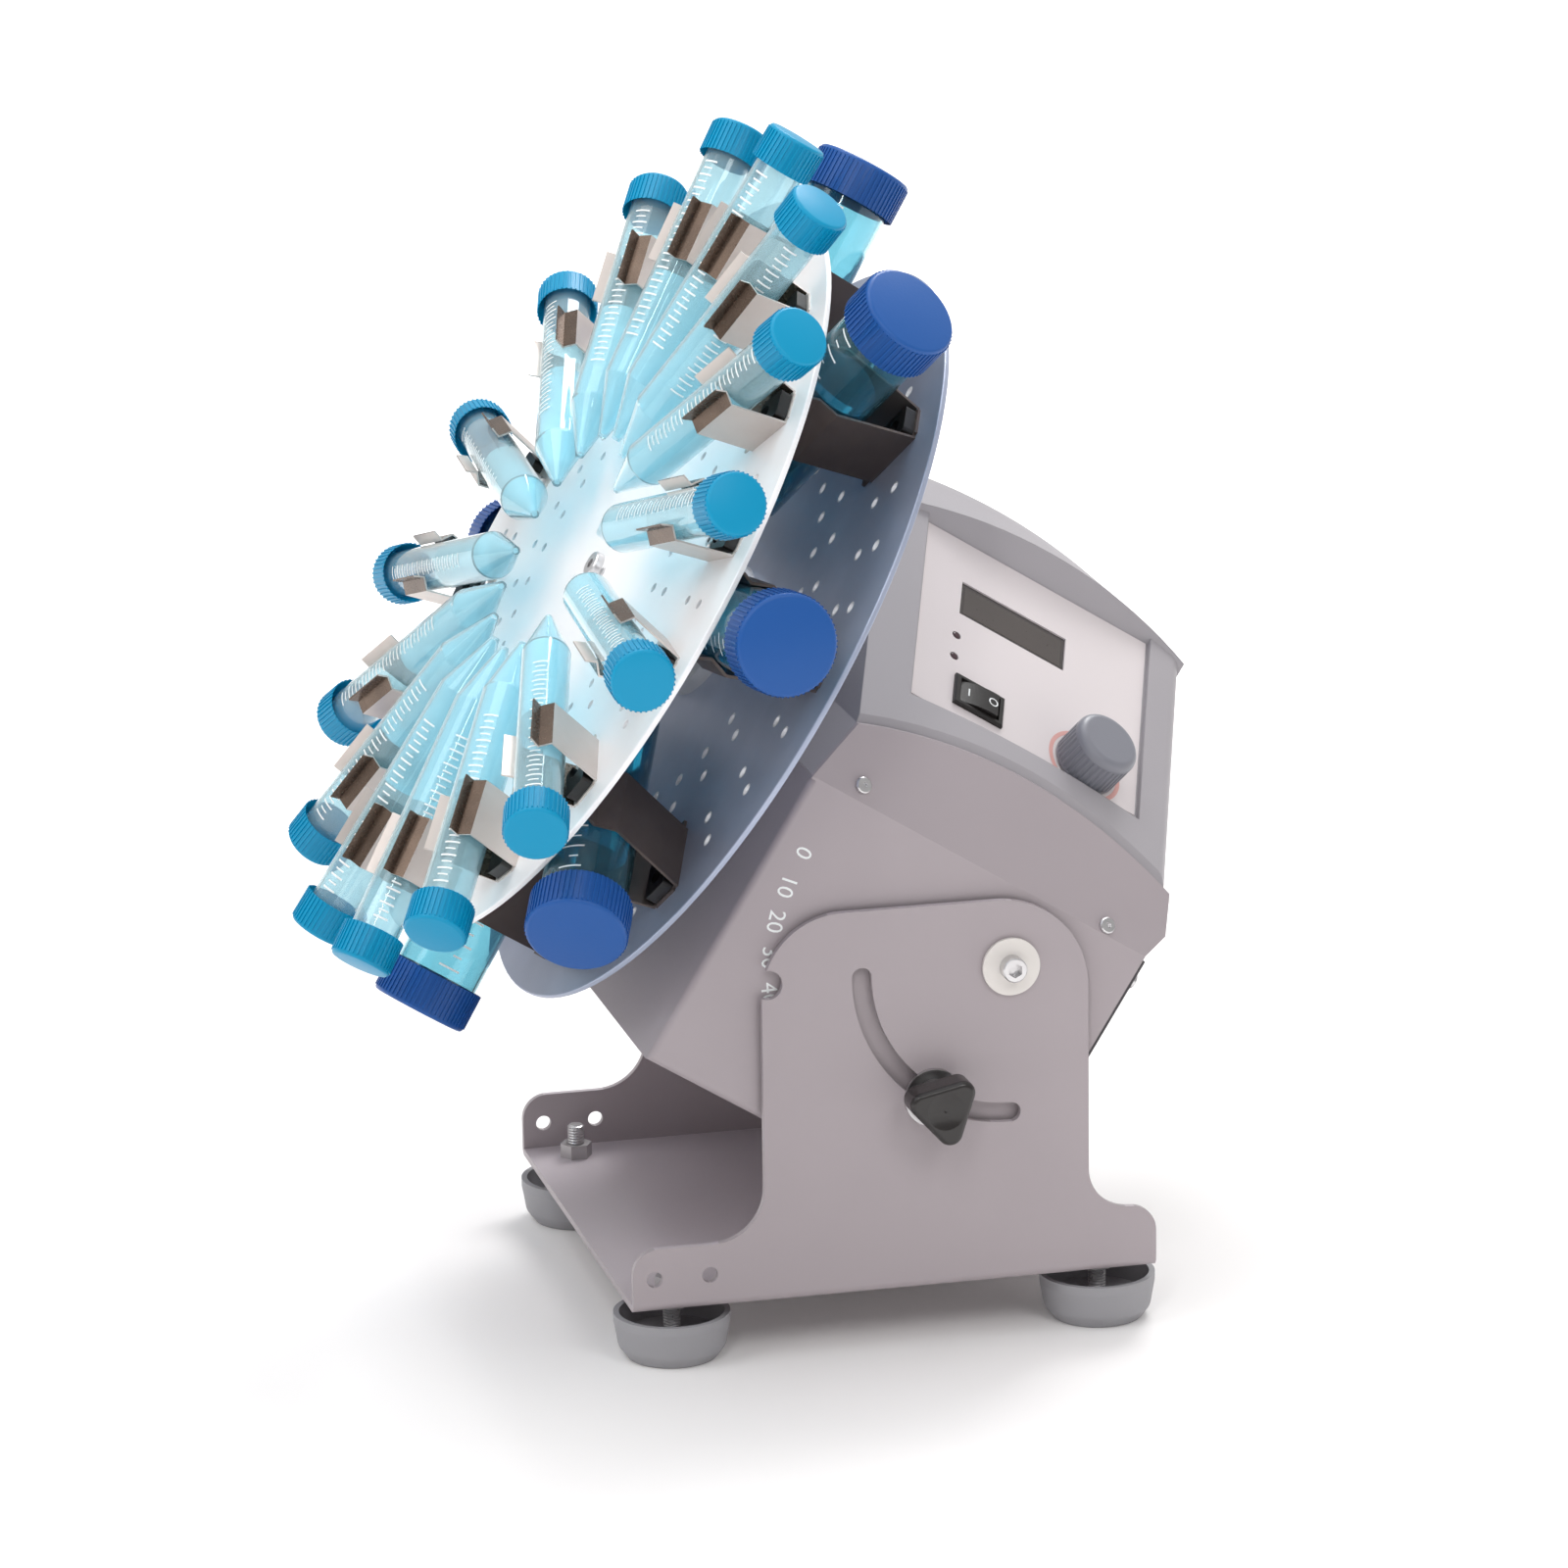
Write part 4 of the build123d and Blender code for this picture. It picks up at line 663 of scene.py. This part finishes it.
def copies_at(obj, matrices):
    """Copies a modelled piece to each place, with the place in its mesh, and joins the copies into one object."""
    made = []
    for matrix in matrices:
        twin = obj.copy()
        twin.data = obj.data.copy()
        twin.data.transform(matrix)
        bpy.context.collection.objects.link(twin)
        made.append(twin)
    bpy.data.objects.remove(obj, do_unlink=True)
    return joined(made)


def drum_places(ring, facing=FORWARD):
    """The tops of the caps round the drum: local Z points outwards along the tube, X as near facing as can be."""
    places = []
    for k, reach in enumerate(ring["outer"]):
        outward = radial(ring["first"] + k * ring["step"])
        top_at = SPIN_AT + FORWARD * ring["lane"] + outward * reach
        front = (facing - outward * facing.dot(outward)).normalized()
        places.append(frame_matrix(front, outward.cross(front), outward, top_at))
    return places


print("modelling helpers ready")

# %% One cap
RIB, RIB_GAP, RIB_SLACK = 0.00045, 0.00012, 0.0002
RIB_RISE = RIB * 0.9
CAP_WALL, CAP_TOP = 0.0018, 0.0025
END_FACING, SIDE_LEVEL = 0.9, 0.1


def ribbed_cap(radius, height, ribs, rim):
    """A screw cap with its top at local z = 0, raised ribs, a rounded rim and a hollow underside."""
    start_fresh()
    bpy.ops.mesh.primitive_cylinder_add(vertices=2 * ribs, radius=radius - RIB, depth=height,
                                        location=(0, 0, -height / 2))
    cap = bpy.context.object
    bpy.ops.object.transform_apply(location=True)
    bpy.ops.object.mode_set(mode="EDIT")
    bpy.ops.mesh.select_mode(type="FACE")
    pick_faces(cap, lambda c, n: n.z > END_FACING)
    bpy.ops.mesh.bevel(offset=rim, segments=3, affect="EDGES")
    pick_faces(cap, lambda c, n: n.z < -END_FACING)
    bpy.ops.mesh.inset(thickness=CAP_WALL)
    bpy.ops.transform.translate(value=(0, 0, height - CAP_TOP))
    step = math.pi / ribs

    def is_rib(c, n):
        index = round(math.atan2(c.y, c.x) / step - 0.5)
        outside = Vector((c.x, c.y)).length > radius - 2 * RIB - RIB_SLACK
        return abs(n.z) < SIDE_LEVEL and outside and index % 2 == 0

    pick_faces(cap, is_rib)
    bpy.ops.mesh.inset(thickness=RIB_GAP, use_individual=True)
    bpy.ops.mesh.extrude_region_shrink_fatten(TRANSFORM_OT_shrink_fatten={"value": RIB_RISE})
    bpy.ops.object.mode_set(mode="OBJECT")
    return cap


# %% Caps round the drum
small_cap = ribbed_cap(SMALL["half"], SMALL["height"], ribs=40, rim=0.0011)
small_caps = copies_at(small_cap, drum_places(SMALL))
finish_piece(small_caps, "ribbed_caps_15ml", cyan_cap, "drum")
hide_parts("caps_15ml")
large_cap = ribbed_cap(LARGE["half"], LARGE["height"], ribs=60, rim=0.0013)
large_caps = copies_at(large_cap, drum_places(LARGE))
finish_piece(large_caps, "ribbed_caps_50ml", blue_cap, "drum")
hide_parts("caps_50ml")
print("caps:", len(small_caps.data.polygons), "and", len(large_caps.data.polygons), "faces")

# %% [markdown]
# ## Painted highlights at the holes
# Bright rings round the rear disc's holes are a painted highlight, standing in for the light seen through the
# holes and on their walls. They could be painted by a mask, but the holes would have to be described again in the
# shader. Instead the holes are found in the construction mesh as small rings of wall faces, and one thin bright ring
# is copied to each.

# %% Find the rear disc's holes
HOLE_SPREAD = 0.0036
HOLES_FROM, HOLES_TO = 0.05, 0.13
WALL_LEVEL = 0.1
disc_mesh = frame["nodes"]["rear_disc"].data
disc_front = span("rear_disc", SPIN_AT, FORWARD)[1]
clusters = []
for face in disc_mesh.polygons:
    place = face.center - SPIN_AT
    reach = (place - FORWARD * place.dot(FORWARD)).length
    if abs(face.normal.dot(FORWARD)) < WALL_LEVEL and HOLES_FROM < reach < HOLES_TO:
        for cluster in clusters:
            if (cluster[0] - face.center).length < HOLE_SPREAD:
                cluster.append(face.center.copy())
                break
        else:
            clusters.append([face.center.copy()])
hole_places = []
for cluster in clusters:
    middle_of = sum(cluster, Vector()) / len(cluster)
    middle_of += FORWARD * (disc_front - (middle_of - SPIN_AT).dot(FORWARD))
    hole_places.append(frame_matrix(DRUM_UP, FORWARD.cross(DRUM_UP), FORWARD, middle_of))
hole_r = max((a - b).length for a in clusters[0] for b in clusters[0]) / 2
print("holes:", len(hole_places), "radius", round(hole_r, 5))

# %% One ring, copied to each hole
RIM_LAP, RIM_WIDTH, RIM_DEPTH = 0.00055, 0.0006, 0.0015
THIN = 0.0001
start_fresh()
bpy.ops.mesh.primitive_cylinder_add(vertices=16, radius=hole_r + RIM_LAP, depth=THIN)
rim = bpy.context.object
bpy.ops.object.mode_set(mode="EDIT")
bpy.ops.mesh.select_mode(type="FACE")
pick_faces(rim, lambda c, n: n.z < END_FACING)
bpy.ops.mesh.delete(type="FACE")
pick_faces(rim, lambda c, n: n.z > END_FACING)
bpy.ops.mesh.inset(thickness=RIM_WIDTH)
bpy.ops.mesh.extrude_region_move(TRANSFORM_OT_translate={"value": (0, 0, -RIM_DEPTH)})
bpy.ops.mesh.delete(type="FACE")
bpy.ops.object.mode_set(mode="OBJECT")
# The rings' bright tone is a painted highlight for the light seen through the holes.
hole_painted_highlight = coated("hole_painted_highlight", "#f2f3f5", "#e6e7ea", 0.3, depth=0.000002)
rims = copies_at(rim, hole_places)
finish_piece(rims, "hole_highlight_rings", hole_painted_highlight, "drum")
print("rings:", len(rims.data.polygons), "faces")

# %% [markdown]
# ## Graduations on the tubes
# The tubes carry a printed white scale: a short mark for each step and a longer one for every other. A picture
# wrapped round the tube would blur close up. So a mark is a narrow arc cut from a cylinder that just clears the
# tube, repeated along it by an array. Tubes are put in by hand, so each scale is turned by a chance angle.

# %% Marks
PRINT = 0.00006
SCALE_GAP = 0.004
LONG_MARK, SHORT_MARK, SHORT_SHARE = 0.0007, 0.0006, 0.55
TWIST = 30


def arc_marks(radius, arc_deg, thickness, start, pitch, count):
    """Arcs of print round a tube on local Z, centred on local X, from start inwards."""
    start_fresh()
    bpy.ops.mesh.primitive_cylinder_add(vertices=60, radius=radius, depth=thickness, end_fill_type="NOTHING",
                                        location=(0, 0, start))
    mark = bpy.context.object
    bpy.ops.object.transform_apply(location=True)
    bpy.ops.object.mode_set(mode="EDIT")
    bpy.ops.mesh.select_mode(type="FACE")
    half = math.radians(arc_deg) / 2
    pick_faces(mark, lambda c, n: abs(math.atan2(c.y, c.x)) > half)
    bpy.ops.mesh.delete(type="FACE")
    bpy.ops.object.mode_set(mode="OBJECT")
    rows = mark.modifiers.new("rows", "ARRAY")
    rows.use_relative_offset = False
    rows.use_constant_offset = True
    rows.constant_offset_displace = (0, 0, -pitch)
    rows.count = count
    bpy.ops.object.modifier_apply(modifier="rows")
    return mark


def tube_scale(radius, cap_low, pitch, steps, arc_deg):
    """Short and long marks joined as one scale, with local z = 0 at the top of the cap."""
    start = -cap_low - SCALE_GAP
    long_marks = arc_marks(radius, arc_deg, LONG_MARK, start, 2 * pitch, (steps + 1) // 2)
    short_marks = arc_marks(radius, arc_deg * SHORT_SHARE, SHORT_MARK, start - pitch, 2 * pitch, steps // 2)
    return joined([long_marks, short_marks])


def twisted(places, seed):
    """The places, each turned about its tube by a chance angle."""
    chance = random.Random(seed)
    return [m @ Matrix.Rotation(math.radians(chance.uniform(-TWIST, TWIST)), 4, "Z") for m in places]


def tube_radius(node):
    """Half the width of a ring of tubes along the spindle."""
    low, high = span(node, SPIN_AT, FORWARD)
    return (high - low) / 2


# %% Scales on the tubes
READING_SIDE = (FORWARD * 0.55 + ACROSS * 0.85).normalized()
white_ink = coated("white_ink", "#f4f6f6", "#e9eded", 0.5, depth=0.000002)
small_mark = tube_scale(tube_radius("tubes_15ml") + PRINT, SMALL["height"], pitch=0.0026, steps=27, arc_deg=38)
small_scale = copies_at(small_mark, twisted(drum_places(SMALL, READING_SIDE), 4))
finish_piece(small_scale, "scales_15ml", white_ink, "drum")
large_mark = tube_scale(tube_radius("tubes_50ml") + PRINT, LARGE["height"], pitch=0.0045, steps=15, arc_deg=30)
large_scale = copies_at(large_mark, twisted(drum_places(LARGE, READING_SIDE), 9))
finish_piece(large_scale, "scales_50ml", white_ink, "drum")
print("scales:", len(small_scale.data.polygons), "and", len(large_scale.data.polygons), "faces")

# %% [markdown]
# ## Printed tilt numbers
# The head's angle is read at a notch in the near cheek, from white numbers on the side of the casing. They run
# round the tilt axis, so each is text turned into a mesh and carried to its own place on an arc.


# %% Text helper
CAPITAL_SHARE = 0.69


def lettering(text, height, matrix):
    """Flat text as a mesh in its place: local X reads along, Y up, Z out of the surface."""
    start_fresh()
    bpy.ops.object.text_add()
    made = bpy.context.object
    made.data.body = text
    made.data.size = height / CAPITAL_SHARE
    made.data.align_x = "CENTER"
    made.data.align_y = "CENTER"
    made.data.resolution_u = 3
    bpy.ops.object.convert(target="MESH")
    made = bpy.context.object
    made.data.transform(matrix)
    return made


# %% Tilt numbers
NUMBERS, NUMBER_R, NUMBER_H = 10, 0.0832, 0.0056
FIRST_ANGLE, NUMBER_STEP = math.radians(148), math.radians(8.7)
casing_low, casing_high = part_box("head_casing")
casing_near = centre("head_casing").y - (casing_high.y - casing_low.y) / 2
numbers = []
for k in range(NUMBERS):
    angle = FIRST_ANGLE + k * NUMBER_STEP
    outward = Vector((math.cos(angle), 0, math.sin(angle)))
    along = Vector((-math.sin(angle), 0, math.cos(angle)))
    place = Vector((TILT_AT.x, casing_near - PRINT, TILT_AT.z)) + outward * NUMBER_R
    numbers.append(lettering(str(10 * k), NUMBER_H, frame_matrix(along, -outward, ACROSS, place)))
angle_scale = joined(numbers)
finish_piece(angle_scale, "angle_numbers", white_ink, "head")
print("numbers:", len(angle_scale.data.vertices), "vertices")

# %% [markdown]
# ## The arc round the speed knob
# The label has a coloured arc round the knob, open at the bottom. A flat ring is cut from a disc by an inset, and
# the faces of the opening are deleted, which keeps its ends square.

# %% Speed arc
ARC_GAP, ARC_WIDTH = 0.0026, 0.0016
OPEN_FROM, OPEN_TO = -135, -50
red_ink = coated("red_ink", "#dba9a3", "#d09b95", 0.5, depth=0.000002)
label_face = span("panel_label", SPIN_AT, PANEL_N)[1]
knob_axis = Vector(JOINTS["speed_turn"]["pos_m"])
knob_axis -= PANEL_N * ((knob_axis - SPIN_AT).dot(PANEL_N) - label_face - PRINT)
knob_r = span("speed_knob", knob_axis, PANEL_RIGHT)[1]
start_fresh()
bpy.ops.mesh.primitive_cylinder_add(vertices=96, radius=knob_r + ARC_GAP, depth=THIN, end_fill_type="NGON")
arc = bpy.context.object
bpy.ops.object.mode_set(mode="EDIT")
bpy.ops.mesh.select_mode(type="FACE")
pick_faces(arc, lambda c, n: n.z < END_FACING)
bpy.ops.mesh.delete(type="FACE")
pick_faces(arc, lambda c, n: n.z > END_FACING)
bpy.ops.mesh.inset(thickness=ARC_WIDTH)
bpy.ops.mesh.delete(type="FACE")
pick_faces(arc, lambda c, n: OPEN_FROM < math.degrees(math.atan2(c.y, c.x)) < OPEN_TO)
bpy.ops.mesh.delete(type="FACE")
bpy.ops.object.mode_set(mode="OBJECT")
arc.data.transform(frame_matrix(PANEL_RIGHT, PANEL_UP, PANEL_N, knob_axis))
finish_piece(arc, "speed_arc", red_ink, "head")
print("arc:", len(arc.data.polygons), "faces")

# %% [markdown]
# ## Switch signs
# The rocker carries the two usual signs, on and off. Its faces lean, so a ray is dropped on each to find the place
# and the slope. The signs ride on the rocker and tip with it.

# %% Switch signs
SIGN_SHIFT, SIGN_H = 0.0046, 0.0036
RAY_RISE = 0.01
rocker_top = Vector(JOINTS["rocker_tip"]["pos_m"])
signs = []
for text, shift in (("I", -SIGN_SHIFT), ("O", SIGN_SHIFT)):
    start = rocker_top + PANEL_RIGHT * shift + PANEL_N * RAY_RISE
    hit, spot, normal, _ = frame["nodes"]["rocker"].ray_cast(start, -PANEL_N)
    across = PANEL_UP.cross(normal).normalized()
    signs.append(lettering(text, SIGN_H, frame_matrix(across, PANEL_UP, normal, spot + normal * PRINT)))
switch_signs = joined(signs)
finish_piece(switch_signs, "switch_signs", white_ink, "rocker")
print("signs:", len(switch_signs.data.polygons), "faces")

# %% [markdown]
# ## Display screen
# The display shows a slightly lighter field inside its dark frame. It could be a tone in the window's material, but
# a thin sheet with rounded corners gives the field a crisp edge.

# %% Display screen
FIELD_INSET_X, FIELD_INSET_Y, FIELD_CORNER = 0.0028, 0.0030, 0.0006
lcd = coated("lcd_field", "#4d4541", "#3a3330", 0.3, depth=0.000002, patch=40.0, Coat_Weight=0.4)
screen_low, screen_high = span("display_window", knob_axis, PANEL_RIGHT)
screen_foot, screen_head = span("display_window", knob_axis, PANEL_UP)
screen_face = span("display_window", knob_axis, PANEL_N)[1]
start_fresh()
bpy.ops.mesh.primitive_plane_add(size=1)
field = bpy.context.object
field.scale = (screen_high - screen_low - FIELD_INSET_X, screen_head - screen_foot - FIELD_INSET_Y, 1)
bpy.ops.object.transform_apply(scale=True)
bpy.ops.object.mode_set(mode="EDIT")
bpy.ops.mesh.select_all(action="SELECT")
bpy.ops.mesh.bevel(offset=FIELD_CORNER, segments=3, affect="VERTICES")
bpy.ops.object.mode_set(mode="OBJECT")
screen_at = (knob_axis + PANEL_RIGHT * (screen_low + screen_high) / 2
             + PANEL_UP * (screen_foot + screen_head) / 2 + PANEL_N * (screen_face + PRINT))
field.data.transform(frame_matrix(PANEL_RIGHT, PANEL_UP, PANEL_N, screen_at))
finish_piece(field, "display_field", lcd, "head")
print("field:", len(field.data.polygons), "face")
